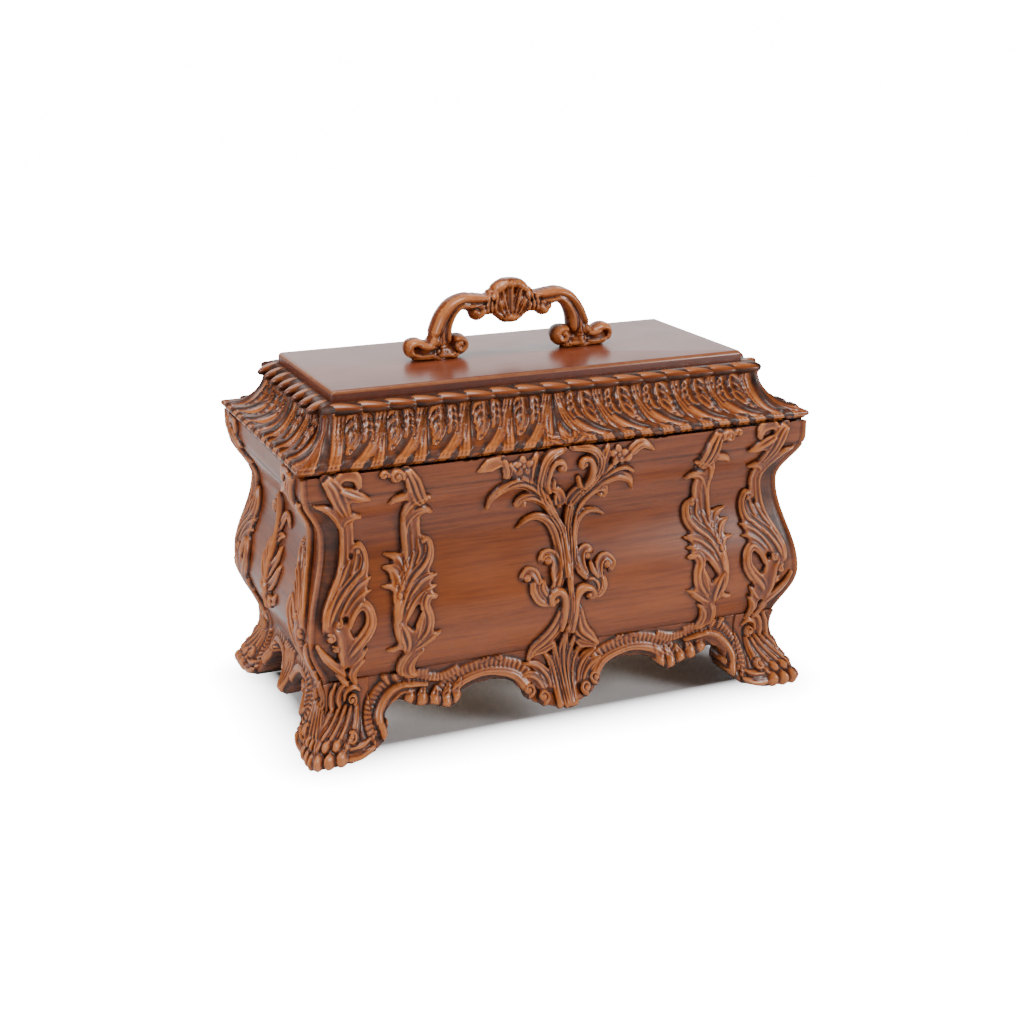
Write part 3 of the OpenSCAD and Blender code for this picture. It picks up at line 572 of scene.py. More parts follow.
@dataclass
class CaseShape:
    """The swelling outside of the case, in millimetres."""

    half_w: float = 148.0
    half_d: float = 82.0
    base_h: float = 46.0
    rim_h: float = 163.0
    toe_h: float = 6.0
    ankle_h: float = 37.0
    belly_h: float = 74.0
    neck_h: float = 127.0
    band_h: float = 155.0
    floor_in: float = 2.5
    edge_in: float = 0.5
    ankle_in: float = 13.0
    belly_in: float = 1.2
    neck_in: float = 12.0

    @classmethod
    def from_frame(cls) -> "CaseShape":
        """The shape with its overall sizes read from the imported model."""
        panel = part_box("front_panel")
        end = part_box("left_end_panel")
        edge = cls.edge_in
        return cls(half_w=float(panel[1][0]) / MM + edge, half_d=float(end[1][1]) / MM + edge,
                   base_h=float(panel[0][2]) / MM, rim_h=float(panel[1][2]) / MM)

    def stand_in(self, z: Array) -> Array:
        """How far the outside stands in from the widest line at some heights."""
        z = np.asarray(z, float)

        def blend(a: float, b: float, z0: float, z1: float, power: float = 1.0) -> Array:
            """Smooth change from a at z0 to b at z1."""
            t = np.clip((z - z0) / (z1 - z0), 0, 1) ** power
            return a + (b - a) * (1 - np.cos(math.pi * t)) / 2

        out = blend(self.floor_in, self.edge_in, 0.0, self.toe_h)
        out = np.where(z >= self.toe_h, blend(self.edge_in, self.ankle_in, self.toe_h, self.ankle_h, 0.75), out)
        out = np.where(z >= self.ankle_h, blend(self.ankle_in, self.belly_in, self.ankle_h, self.belly_h), out)
        out = np.where(z >= self.belly_h, blend(self.belly_in, self.neck_in, self.belly_h, self.neck_h), out)
        return np.where(z >= self.neck_h, blend(self.neck_in, self.edge_in, self.neck_h, self.band_h), out)

    def halves(self, side: Side) -> tuple[float, float]:
        """Distance of a side from the middle, and its half length."""
        return side.halves(self.half_w, self.half_d)

    def slope(self, z: Array) -> Array:
        """How much further in the outside stands a millimetre higher."""
        return self.stand_in(z + 0.5) - self.stand_in(z - 0.5)

    def place(self, side: Side, u: Array, z: Array, h: Array) -> Array:
        """Put points of a side's carving into the frame.

        Args:
            side: the side.
            u: places to the right of its middle, seen from outside.
            z: heights.
            h: heights of the carving above the wall.

        Returns:
            The points, with a last axis of 3.
        """
        ref, _ = self.halves(side)
        slope = self.slope(z)
        norm = np.sqrt(1 + slope**2)
        return side.turned(u, -(ref - self.stand_in(z)) - h / norm, z + h * slope / norm)


# Finishes
Socket = bpy.types.NodeSocket
Inputs = dict[str | int, object]


class Nodes:
    """Short forms for building a node tree."""

    def __init__(self, tree: bpy.types.NodeTree) -> None:
        """Work on a tree."""
        self.tree = tree

    def fill(self, node: bpy.types.Node, inputs: Inputs) -> bpy.types.Node:
        """Give a node's inputs their values, or join them to the sockets given."""
        for key, value in inputs.items():
            if isinstance(value, Socket):
                self.tree.links.new(value, node.inputs[key])
            else:
                node.inputs[key].default_value = value
        return node

    def add(self, kind: str, inputs: Inputs | None = None, **settings: object) -> bpy.types.Node:
        """Add a node with its settings and inputs."""
        node = self.tree.nodes.new(kind)
        for key, value in settings.items():
            setattr(node, key, value)
        return self.fill(node, inputs or {})

    def math(self, op: str, a: Socket | float, b: Socket | float = 0.0, clamp: bool = False) -> Socket:
        """A sum on one or two values."""
        return self.add("ShaderNodeMath", {0: a, 1: b}, operation=op, use_clamp=clamp).outputs[0]

    def remap(self, value: Socket, lo: float, hi: float, out_lo: float = 0.0, out_hi: float = 1.0) -> Socket:
        """Stretch a value from one range to another and hold it there."""
        return self.add("ShaderNodeMapRange", {"Value": value, "From Min": lo, "From Max": hi, "To Min": out_lo,
                                               "To Max": out_hi}).outputs[0]

    def mix(self, factor: Socket, a: Socket | Colour, b: Colour) -> Socket:
        """Mix two colours."""
        first = a if isinstance(a, Socket) else (*a, 1.0)
        return self.add("ShaderNodeMix", {0: factor, 6: first, 7: (*b, 1.0)}, data_type="RGBA").outputs[2]

    def place(self) -> Socket:
        """Place in the piece's own space."""
        return self.add("ShaderNodeTexCoord").outputs["Object"]

    def noise(self, vector: Socket, scale: Socket | float, detail: float = 2.0, distortion: float = 0.0) -> Socket:
        """A cloudy value."""
        return self.add("ShaderNodeTexNoise", {"Vector": vector, "Scale": scale, "Detail": detail,
                                               "Distortion": distortion}).outputs[0]

    def bump(self, height: Socket, strength: float, distance: float) -> Socket:
        """The normal of a slightly uneven surface."""
        return self.add("ShaderNodeBump", {"Strength": strength, "Distance": distance, "Height": height}).outputs[0]


def new_group(name: str, inputs: dict[str, float | None], outputs: Sequence[str]
              ) -> tuple[bpy.types.NodeTree, Nodes, bpy.types.bpy_prop_collection, bpy.types.Node]:
    """Start a shader node group with named sockets.

    Args:
        name: the group's name.
        inputs: socket names with their first values; None makes a vector.
        outputs: names of its values.

    Returns:
        The group's tree, its short forms, the sockets it is given and its output node.
    """
    tree = bpy.data.node_groups.new(name, "ShaderNodeTree")
    for key, value in inputs.items():
        kind = "NodeSocketVector" if value is None else "NodeSocketFloat"
        socket = tree.interface.new_socket(name=key, in_out="INPUT", socket_type=kind)
        if value is not None:
            socket.default_value = value
    for key in outputs:
        tree.interface.new_socket(name=key, in_out="OUTPUT", socket_type="NodeSocketFloat")
    n = Nodes(tree)
    return tree, n, n.add("NodeGroupInput").outputs, n.add("NodeGroupOutput")


def new_material(name: str) -> tuple[bpy.types.Material, Nodes, bpy.types.Node]:
    """Start a material: it, the short forms for its tree, and its surface node."""
    mat = bpy.data.materials.new(name)
    mat.use_nodes = True
    return mat, Nodes(mat.node_tree), mat.node_tree.nodes["Principled BSDF"]


class SharedGroups:
    """Node groups that several finishes use."""

    def __init__(self) -> None:
        """Build every group once."""
        self.grain = self._grain()
        self.patina_and_painted_light = self._patina_and_painted_light()
        self.smudge = self._smudge()

    def _grain(self) -> bpy.types.NodeTree:
        """Straight wood grain along X of its vector: tone, pores and a height."""
        tree, n, given, out = new_group("wood_grain", {"Vector": None, "Scale": 1.0, "Stretch": 0.06, "Seed": 0.0},
                                        ("Tone", "Pores", "Height"))
        squeeze = n.add("ShaderNodeCombineXYZ", {0: given["Stretch"], 1: 1.0, 2: 1.0})
        thin = n.add("ShaderNodeVectorMath", {0: given["Vector"], 1: squeeze.outputs[0]}, operation="MULTIPLY")
        size = n.add("ShaderNodeVectorMath", {0: thin.outputs[0], "Scale": given["Scale"]}, operation="SCALE")
        shift = n.add("ShaderNodeCombineXYZ", {0: given["Seed"], 2: given["Seed"]})
        place = n.add("ShaderNodeVectorMath", {0: size.outputs[0], 1: shift.outputs[0]}, operation="ADD")
        broad = n.noise(place.outputs[0], 45.0, 5.0, 0.6)
        fine = n.noise(place.outputs[0], 380.0, 3.0)
        tone = n.math("ADD", n.math("MULTIPLY", broad, 0.55), n.math("MULTIPLY", fine, 0.45))
        pores = n.remap(fine, 0.56, 0.7)
        height = n.math("SUBTRACT", n.math("MULTIPLY", fine, 0.6), n.math("MULTIPLY", pores, 0.5))
        n.fill(out, {"Tone": n.remap(tone, 0.35, 0.65), "Pores": pores, "Height": height})
        return tree

    def _patina_and_painted_light(self) -> bpy.types.NodeTree:
        """Dark wax with painted shade in hollows and rubbed crests with a painted highlight, from the rubbing and
        painted light value.
        """
        tree, n, given, out = new_group("patina_and_painted_light", {"Wear_and_painted_light": 0.0, "Strength": 1.0}, ("Hollow", "Crest"))
        patchy = n.remap(n.noise(n.place(), 160.0), 0.35, 0.65, 0.65, 1.0)
        for name, lo, hi in (("Hollow", 0.0, -0.34), ("Crest", 0.04, 0.5)):
            share = n.math("MULTIPLY", n.remap(given["Wear_and_painted_light"], lo, hi), given["Strength"])
            n.fill(out, {name: n.math("MULTIPLY", share, patchy)})
        return tree

    def _smudge(self) -> bpy.types.NodeTree:
        """Faint handling marks that change the gloss."""
        tree, n, given, out = new_group("smudge", {"Scale": 30.0, "Low": 0.3, "High": 0.5}, ("Roughness",))
        spread = n.math("SUBTRACT", given["High"], given["Low"])
        marks = n.remap(n.noise(n.place(), given["Scale"], 4.0), 0.15, 0.85)
        n.fill(out, {"Roughness": n.math("ADD", given["Low"], n.math("MULTIPLY", marks, spread))})
        return tree

    def gloss(self, n: Nodes, low: float, high: float, dull: Socket, amount: float) -> Socket:
        """Roughness of a handled surface.

        Args:
            n: the short forms for the material's tree.
            low: roughness where it is rubbed.
            high: roughness where it is smudged.
            dull: where it is duller.
            amount: how much rougher it is there.

        Returns:
            The roughness.
        """
        smudge = n.add("ShaderNodeGroup", node_tree=self.smudge)
        n.fill(smudge, {"Low": low, "High": high})
        return n.math("ADD", smudge.outputs["Roughness"], n.math("MULTIPLY", dull, amount), True)


class GrainWay(Enum):
    """Direction of the grain, as turns in degrees about X, Y and Z."""

    ALONG_X = (0.0, 0.0, 0.0)
    ALONG_Y = (0.0, 0.0, 90.0)
    ALONG_Z = (0.0, 90.0, 0.0)


@dataclass(frozen=True)
class WoodFinish:
    """Waxed or polished wood."""

    name: str
    light: Colour
    dark: Colour
    crest: Colour
    hollow: Colour
    rough_low: float = 0.26
    rough_high: float = 0.40
    coat: float = 0.22
    coat_rough: float = 0.18
    bump: float = 0.12
    way: GrainWay = GrainWay.ALONG_X
    seed: float = 0.0

    def build(self, groups: SharedGroups) -> bpy.types.Material:
        """Make the material.

        Args:
            groups: the shared node groups.

        Returns:
            The material.
        """
        mat, n, bsdf = new_material(self.name)
        turn = n.add("ShaderNodeMapping", {"Vector": n.place(), "Rotation": [math.radians(a) for a in self.way.value]})
        grain = n.fill(n.add("ShaderNodeGroup", node_tree=groups.grain),
                       {"Vector": turn.outputs[0], "Seed": self.seed}).outputs
        wear_and_painted_light = n.add("ShaderNodeAttribute", attribute_name="wear_and_painted_light").outputs["Fac"]
        patina_and_painted_light = n.fill(n.add("ShaderNodeGroup", node_tree=groups.patina_and_painted_light), {"Wear_and_painted_light": wear_and_painted_light}).outputs
        colour = n.mix(grain["Tone"], self.dark, self.light)
        # Pores take the hollow colour; crests take the crest colour, rubbing with a painted highlight; hollows take the
        # hollow colour again, dark wax with painted shade.
        for mask, share, tint in ((grain["Pores"], 0.45, self.hollow), (patina_and_painted_light["Crest"], 0.85, self.crest),
                                  (patina_and_painted_light["Hollow"], 0.92, self.hollow)):
            colour = n.mix(n.math("MULTIPLY", mask, share), colour, tint)
        n.fill(bsdf, {"Base Color": colour, "Normal": n.bump(grain["Height"], self.bump, 0.0004),
                      "Roughness": groups.gloss(n, self.rough_low, self.rough_high, patina_and_painted_light["Hollow"], 0.25),
                      "Coat Weight": self.coat, "Coat Roughness": self.coat_rough, "Specular IOR Level": 0.36})
        return mat


@dataclass(frozen=True)
class MetalFinish:
    """Brass or steel with turning marks and a little tarnish."""

    name: str
    colour: Colour
    tarnish: Colour
    rough_low: float = 0.18
    rough_high: float = 0.34
    lines: float = 900.0

    def build(self, groups: SharedGroups) -> bpy.types.Material:
        """Make the material.

        Args:
            groups: the shared node groups.

        Returns:
            The material.
        """
        mat, n, bsdf = new_material(self.name)
        dull = n.remap(n.noise(n.place(), 60.0, 6.0), 0.48, 0.75)
        squeeze = n.add("ShaderNodeMapping", {"Vector": n.place(), "Scale": (0.03, 1.0, 1.0)})
        lines = n.noise(squeeze.outputs[0], self.lines)
        n.fill(bsdf, {"Base Color": n.mix(dull, self.colour, self.tarnish), "Metallic": 1.0,
                      "Roughness": groups.gloss(n, self.rough_low, self.rough_high, dull, 0.15),
                      "Normal": n.bump(lines, 0.06, 0.0002)})
        return mat


@dataclass(frozen=True)
class VelvetFinish:
    """Short-pile velvet."""

    name: str
    pile: Colour
    nap: Colour

    def build(self) -> bpy.types.Material:
        """Make the material."""
        mat, n, bsdf = new_material(self.name)
        place = n.place()
        nap, fibre = n.noise(place, 70.0, 5.0), n.noise(place, 2600.0)
        tone = n.math("ADD", n.math("MULTIPLY", n.remap(nap, 0.35, 0.65), 0.7), n.math("MULTIPLY", fibre, 0.3))
        n.fill(bsdf, {"Base Color": n.mix(tone, self.pile, self.nap), "Roughness": 0.95, "Sheen Weight": 0.6,
                      "Sheen Roughness": 0.35, "Sheen Tint": (1.0, 0.55, 0.55, 1.0),
                      "Normal": n.bump(fibre, 0.35, 0.0004)})
        return mat


class Finishes:
    """Every finish of the music box."""

    LIGHT = (0.29, 0.068, 0.009)
    DARK = (0.105, 0.018, 0.0035)
    # CREST is a rubbed lightening with a painted highlight; HOLLOW is dark wax with painted shade, and the dark of the
    # grain's pores.
    CREST = (0.54, 0.18, 0.052)
    HOLLOW = (0.010, 0.003, 0.0012)

    def __init__(self) -> None:
        """Build the materials."""
        g = SharedGroups()

        def carved(name: str, way: GrainWay, seed: float) -> bpy.types.Material:
            """Carved mahogany with its grain one way."""
            return WoodFinish(name, self.LIGHT, self.DARK, self.CREST, self.HOLLOW, way=way, seed=seed).build(g)

        self.carved_long = carved("carved_mahogany_long", GrainWay.ALONG_X, 0.0)
        self.carved_short = carved("carved_mahogany_short", GrainWay.ALONG_Y, 3.0)
        self.carved_upright = carved("carved_mahogany_upright", GrainWay.ALONG_Z, 7.0)
        self.polished = WoodFinish(
            "polished_top", (0.22, 0.050, 0.020), (0.13, 0.026, 0.010), (0.36, 0.15, 0.06), self.HOLLOW,
            rough_low=0.26, rough_high=0.36, coat=0.25, coat_rough=0.22, bump=0.05, seed=5.0).build(g)
        self.bare = WoodFinish(
            "bare_maple", (0.62, 0.43, 0.25), (0.50, 0.32, 0.17), (0.7, 0.5, 0.3), (0.3, 0.18, 0.09),
            rough_low=0.55, rough_high=0.7, coat=0.0, bump=0.2, seed=11.0).build(g)
        self.knob = WoodFinish(
            "ebonised_knob", (0.055, 0.03, 0.02), (0.02, 0.012, 0.009), (0.12, 0.07, 0.05), (0.01, 0.006, 0.004),
            rough_low=0.2, rough_high=0.3, coat=0.5, coat_rough=0.12, bump=0.05, seed=2.0).build(g)
        self.brass = MetalFinish("brass", (0.80, 0.57, 0.24), (0.45, 0.27, 0.10)).build(g)
        self.steel = MetalFinish("steel", (0.62, 0.63, 0.65), (0.40, 0.39, 0.38), lines=1400.0).build(g)
        self.velvet = VelvetFinish("velvet", (0.16, 0.008, 0.018), (0.30, 0.02, 0.035)).build()


# Carved motifs, drawn in millimetres on the face that they stand on
@dataclass(frozen=True)
class Strand:
    """One carved strand: its line, half widths and height."""

    line: tuple[Point, ...]
    widths: tuple[float, ...]
    height: float
    kind: Section = Section.ROUND
    ends: Point = (0.0, 0.12)

    def carve(self, canvas: Canvas, broad: float = 1.0) -> None:
        """Lay the strand on a canvas, widened by broad."""
        canvas.stroke(self.line, [broad * w for w in self.widths], self.height, self.kind, ends=self.ends)


def volute(canvas: Canvas, centre: Point, radius: float, start: float, turns: float, height: float = 3.6) -> None:
    """Carve a spiral with a ball in its eye."""
    canvas.blob(centre, (radius * 0.95, radius * 0.95), height * 0.45)
    canvas.stroke(curl(centre, radius * 0.82, start, turns, radius * 0.25),
                  (radius * 0.24, radius * 0.22, radius * 0.16), height)
    canvas.blob(centre, (radius * 0.3, radius * 0.3), height * 1.08)


def strands(*rows: tuple) -> list[Strand]:
    """Strands from rows of line, half widths, height, section and ends."""
    return [Strand(*row) for row in rows]


R, G, S, P, L, H = Section
WHOLE, SINK, EASE = (0.0, 0.0), (0.0, 0.1), (0.05, 0.05)  # how strands rise and sink at their ends

SPRAY = strands(
    (((-19, 41), (-16, 47), (-11, 52), (-7, 58), (-4, 66), (-2.5, 74)), (1.4, 3.4, 4.1, 3.9, 3.3, 2.2), 4.3, L),
    (((23, 44), (17, 50), (11, 56), (7.5, 63), (5.5, 72)), (1.2, 3.2, 4, 3.9, 2.8), 4.3, L),
    (((-18, 43), (-10, 46), (-4, 50)), (0.8, 2.4, 1.2), 4.4, S),
    (((22, 43), (14, 45), (9, 49)), (0.8, 2.2, 1.2), 4.2, S),
    (((-10, 76), (-16, 78.5), (-19.5, 84), (-20, 90)), (1.8, 2.9, 2.8, 1.6), 3.7, L),
    (((-9, 77), (-12, 80), (-15, 85), (-14.5, 90)), (1.6, 2.7, 3, 1.6), 4.3, L),
    (((-10, 80), (-7, 84), (-4, 89), (-1.5, 95)), (2.2, 3.2, 2.6, 0.6), 4.1, L),
    (((-7, 84), (-6, 92), (-5.6, 98), (-8, 102.5), (-12, 102.5), (-14.5, 99)),
     (1.8, 3, 2.4, 2.2, 2.1, 1.4), 4.7, S),
    (((-17, 89), (-19, 93.5), (-23, 95), (-27, 91.5)), (1.6, 2.4, 2.3, 1.2), 4.5, S),
    (((-3, 60), (-2, 70), (-2.2, 78), (-5.5, 82), (-10, 80.5), (-10, 76.5), (-7.5, 75.5)),
     (1.4, 2.4, 2.7, 2.6, 2.2, 1.7, 1.2), 5, R),
    (((15, 76), (19.5, 77.5), (22.3, 82), (21.6, 88)), (1.2, 2.2, 2.3, 1.4), 3.8, H),
    (((16.5, 77.5), (18.2, 82), (16, 86), (11, 87)), (1.4, 2.5, 2.8, 1.4), 4.3, L),
    (((11, 88), (8.5, 92), (5.5, 96.5)), (1.6, 2.6, 0.8), 4.3, L),
    (((11.5, 90), (9.4, 95), (9.4, 100), (13, 103), (17.4, 100.5)), (1.2, 2.2, 2.4, 2.2, 1.1), 4.6, S),
    (((18, 87), (15.5, 91), (14.5, 96)), (1.2, 1.8, 1), 4.2, R),
    (((20, 88), (20, 94), (24, 97), (28, 93.5), (26.4, 89)), (1.4, 2.2, 2.3, 2.1, 1.1), 4.6, S),
    (((4, 58), (3.5, 70), (4, 77.5), (8.5, 82), (13.6, 81), (15.2, 77.4), (12.4, 75.4)),
     (1.8, 3, 3.2, 2.7, 2.1, 1.6, 1.2), 5, R),
    (((1.4, 58), (0.8, 72), (1.6, 90), (2.6, 104), (3.2, 116), (5.4, 127), (10, 136), (15, 144), (18, 152),
      (16.8, 158), (11.5, 162), (2, 163.2)),
     (1, 1.6, 1.9, 2.2, 2.4, 2.5, 2.7, 2.8, 2.6, 2.5, 2.3, 1.8), 5, P),
    (((0, 90), (0.2, 104), (-0.4, 114), (-4, 122), (-8, 130), (-12, 138), (-16, 146), (-15.4, 154), (-11, 160.4),
      (-3, 163)),
     (1.5, 2, 2.2, 2.4, 2.6, 2.7, 2.7, 2.5, 2.4, 2), 5.2, P),
    (((-9, 140), (-12, 146), (-11.6, 152.5), (-8.6, 156.4), (-4.6, 156), (-3.2, 153), (-6, 151.6)),
     (1.2, 1.7, 1.9, 1.9, 1.7, 1.4, 1.1), 4.8),
    (((11, 140), (14, 146), (13.8, 152), (11.6, 156), (8, 156), (6.9, 153), (9.6, 151.8)),
     (1.2, 2, 2.1, 1.9, 1.6, 1.3, 1.1), 4.8),
    (((-8, 146), (-7.4, 142)), (1.3, 1.6), 4, R, (0.2, 0.2)),
    (((-7.5, 140.6), (-3.6, 139), (-0.6, 135), (0.2, 130.6), (-1.6, 128)), (1.2, 1.9, 2, 1.6, 1), 4.4, S),
    (((-4.6, 136), (-3.6, 131), (-2.2, 128.6)), (0.8, 1.2, 0.8), 3.4),
    (((6.4, 146), (8.4, 142), (10.6, 139.6)), (1.2, 1.6, 1.2), 4),
    (((10.8, 137.6), (7.8, 138.8), (5, 135), (3.8, 130.6), (5.4, 128)), (1.1, 1.8, 1.9, 1.6, 1.2), 4.4, S),
    (((9.6, 136), (8.6, 132.4), (6.6, 129.4)), (0.8, 1.1, 0.9), 3.4),
    (((-44, 132.6), (-42.4, 140), (-36.5, 145.6), (-29, 147.6), (-21.5, 145), (-14, 138.6), (-8, 131.6), (-2.6, 121)),
     (0.5, 2, 2.8, 3.1, 3, 2.7, 2.3, 1.3), 4.9, L),
    (((-41, 144), (-34, 149), (-27, 149.8), (-20, 147)), (0.5, 1.1, 1.2, 0.8), 3.8, R, SINK),
    (((-26, 133.6), (-24, 136.6), (-18.6, 137), (-12.6, 133.6), (-7.6, 127.6), (-3.4, 119)),
     (2.4, 2.9, 2.8, 2.5, 2.1, 1.2), 4.9, L),
    (((-26.5, 118.6), (-21, 122.6), (-14.4, 123.8), (-8, 120.6), (-4.4, 114.6), (-3, 107), (-2.4, 98), (-1.6, 90)),
     (0.4, 1.5, 2.1, 2.5, 2.7, 2.5, 2.1, 1.2), 4.8, L),
    (((42.6, 134), (38.6, 141), (32, 144.6), (25.4, 143.8), (19.6, 139), (13.6, 131.4), (9, 123), (6, 112),
      (4.6, 100)),
     (0.5, 1.9, 2.7, 3, 2.9, 2.7, 2.4, 2, 1.2), 4.9, L),
    (((40, 146), (33.6, 149.4), (26.6, 148.4), (21, 144.6)), (0.5, 1.1, 1.3, 0.9), 3.8, R, SINK),
    (((25.6, 133), (24, 136.6), (19, 136.8), (13.6, 132.4), (10, 126), (8, 118.6)),
     (2.2, 2.7, 2.6, 2.3, 2, 1.1), 4.9, L),
    (((26, 120), (20.4, 123), (14, 123), (9.4, 119), (6.8, 112), (5.8, 103), (5, 93)),
     (0.4, 1.5, 2, 2.3, 2.3, 2, 1.1), 4.7, L),
    (((-29, 152), (-24, 150), (-19, 146)), (0.9, 1.3, 1.3), 3.2),
    (((29, 153), (24.6, 151), (20, 146)), (0.9, 1.3, 1.3), 3.2),
    (((-21.6, 147.6), (-21.4, 155), (-18.4, 163)), (0.9, 3.1, 0.8), 4, L),
    (((20, 147), (20.6, 155), (23.6, 163)), (0.9, 3, 0.8), 4, L),
    (((-52, 156.4), (-46, 159), (-38.6, 161)), (0.6, 3.4, 2.6), 3.8, S),
    (((34, 153), (38, 158), (44, 161), (51.6, 156.4)), (1, 3, 3, 0.5), 3.8, L),
    (((-37.6, 160), (-36, 155.4), (-36.6, 150.6)), (1.4, 2.8, 1.4), 4.2, L),
    (((-34, 158), (-31.6, 154), (-30.6, 149.6)), (1.2, 2.6, 1), 3.9, L),
)

PALMETTE = strands(
    (((-24, 30), (-19, 30), (-14, 26), (-11, 19)), (1.4, 3.4, 3.6, 1.8), 4.2, L),
    (((25, 34), (20, 32), (15, 27), (12, 20)), (1.4, 3.4, 3.6, 1.8), 4.2, L),
    (((-22, 38), (-15, 36), (-9, 29), (-7, 21)), (1, 2.9, 3.2, 1.8), 4.4, L),
    (((22, 41), (16, 37), (11, 29), (9, 21)), (1, 2.9, 3.2, 1.8), 4.4, L),
    (((-3.5, 13), (-3.6, 24), (-5, 36), (-10.4, 44)), (2, 2.4, 2.6, 0.9), 4.4, L),
    (((6, 13), (6.4, 24), (8.4, 36), (13, 46)), (2, 2.4, 2.6, 0.9), 4.4, L),
    (((0.6, 12.5), (0, 26), (-1.6, 38), (-5.4, 51.6)), (1.8, 2.3, 2.8, 0.8), 4.9, L),
    (((3.6, 12.5), (4, 26), (5, 40), (7.6, 53)), (1.8, 2.3, 2.8, 0.8), 4.9, L),
    (((2, 12.5), (2, 28), (1.4, 46), (1.2, 58.6)), (1.6, 2.4, 3, 0.7), 5.3, L),
)

LEAF_DROP = strands(
    (((91.6, 136), (90.8, 124), (90.8, 112), (92.6, 102), (96, 94), (98.6, 84), (98.6, 74), (96, 66), (93.6, 60)),
     (1.2, 1.5, 1.7, 2, 2.2, 2.2, 2, 1.7, 1), 3.8, R),
    (((83.2, 134), (83, 124), (84.4, 113)), (1.2, 1.5, 0.9), 2.9),
    (((86.8, 134), (86.6, 124), (86.6, 113)), (1.2, 1.4, 0.9), 3.1),
    (((75.6, 135.6), (80, 137.6), (85, 136), (88.6, 130), (89.8, 120)), (0.5, 1.9, 2.6, 2.1, 1.2), 4, L, SINK),
    (((78.6, 146), (84, 146), (89, 142), (91.6, 134)), (0.5, 2.1, 2.5, 1.4), 4.3, L, SINK),
    (((81.6, 143), (85.4, 148), (88.6, 155), (91.8, 162)), (2.2, 3.6, 3.8, 2.2), 4.2, P, EASE),
    (((92, 148), (97, 146.6), (101, 144)), (2.2, 1.8, 0.5), 3, L),
    (((86.4, 113), (89, 106), (93, 100), (96.4, 93), (98, 84)), (1.2, 3, 3.3, 3, 1.8), 4.6, L, SINK),
    (((81, 121.4), (77.6, 117.6), (78, 110.6), (82, 105), (87.6, 100), (93, 93), (97, 84), (98, 74)),
     (1, 2.1, 2.6, 3.2, 3.4, 3.4, 3, 1.5), 4.8, L, SINK),
    (((83.6, 119.6), (83, 112.6), (86.6, 106)), (1, 2, 1.4), 4.3, L),
    (((74.6, 100.6), (79, 99.6), (84.6, 97), (90.6, 91), (95, 83)), (0.4, 2.1, 2.5, 2.6, 1.6), 4.4, L, SINK),
    (((75.6, 95), (80, 93.8), (86, 91), (91.6, 85), (95.6, 77)), (0.4, 1.6, 2, 2.1, 1.2), 4, L, SINK),
    (((76.6, 89.6), (81, 90), (83, 86), (81.4, 79.6), (82.2, 73.6), (86, 68), (91, 63)),
     (1, 2.3, 2.4, 2.5, 2.8, 2.5, 1.4), 4.5, L, SINK),
    (((84.6, 82), (86.4, 75), (88.6, 68)), (0.8, 2.2, 1.2), 4, L),
    (((97, 78), (94, 72), (92.6, 66), (93.6, 60)), (1, 3.2, 3, 1.2), 4.5, L),
    (((74.8, 70.4), (79.6, 68.4), (85, 64.6), (91, 61)), (0.4, 2.2, 2.3, 1.2), 4.1, L, SINK),
    (((83.6, 60.4), (88.4, 56), (90.4, 50), (88.6, 44.6), (84, 42.4)), (0.5, 2.3, 2.8, 2.5, 0.9), 4.2, L),
    (((91, 61), (94, 55), (95, 49), (93, 43)), (1.2, 2.3, 2.3, 1), 4.2, L),
    (((93, 105), (95.6, 111.6), (102.6, 114.6)), (1.2, 2.4, 0.4), 3.8, L),
    (((95.6, 96), (96.8, 102), (99, 106), (104, 108)), (1.4, 3.1, 2.5, 0.4), 4.1, L),
    (((96.6, 92), (99.4, 96.8), (105.6, 98.4)), (1.1, 1.7, 0.4), 3.6, L),
    (((97.6, 66), (100, 63.4), (104.6, 63)), (1.1, 1.5, 0.4), 3.2, L),
)

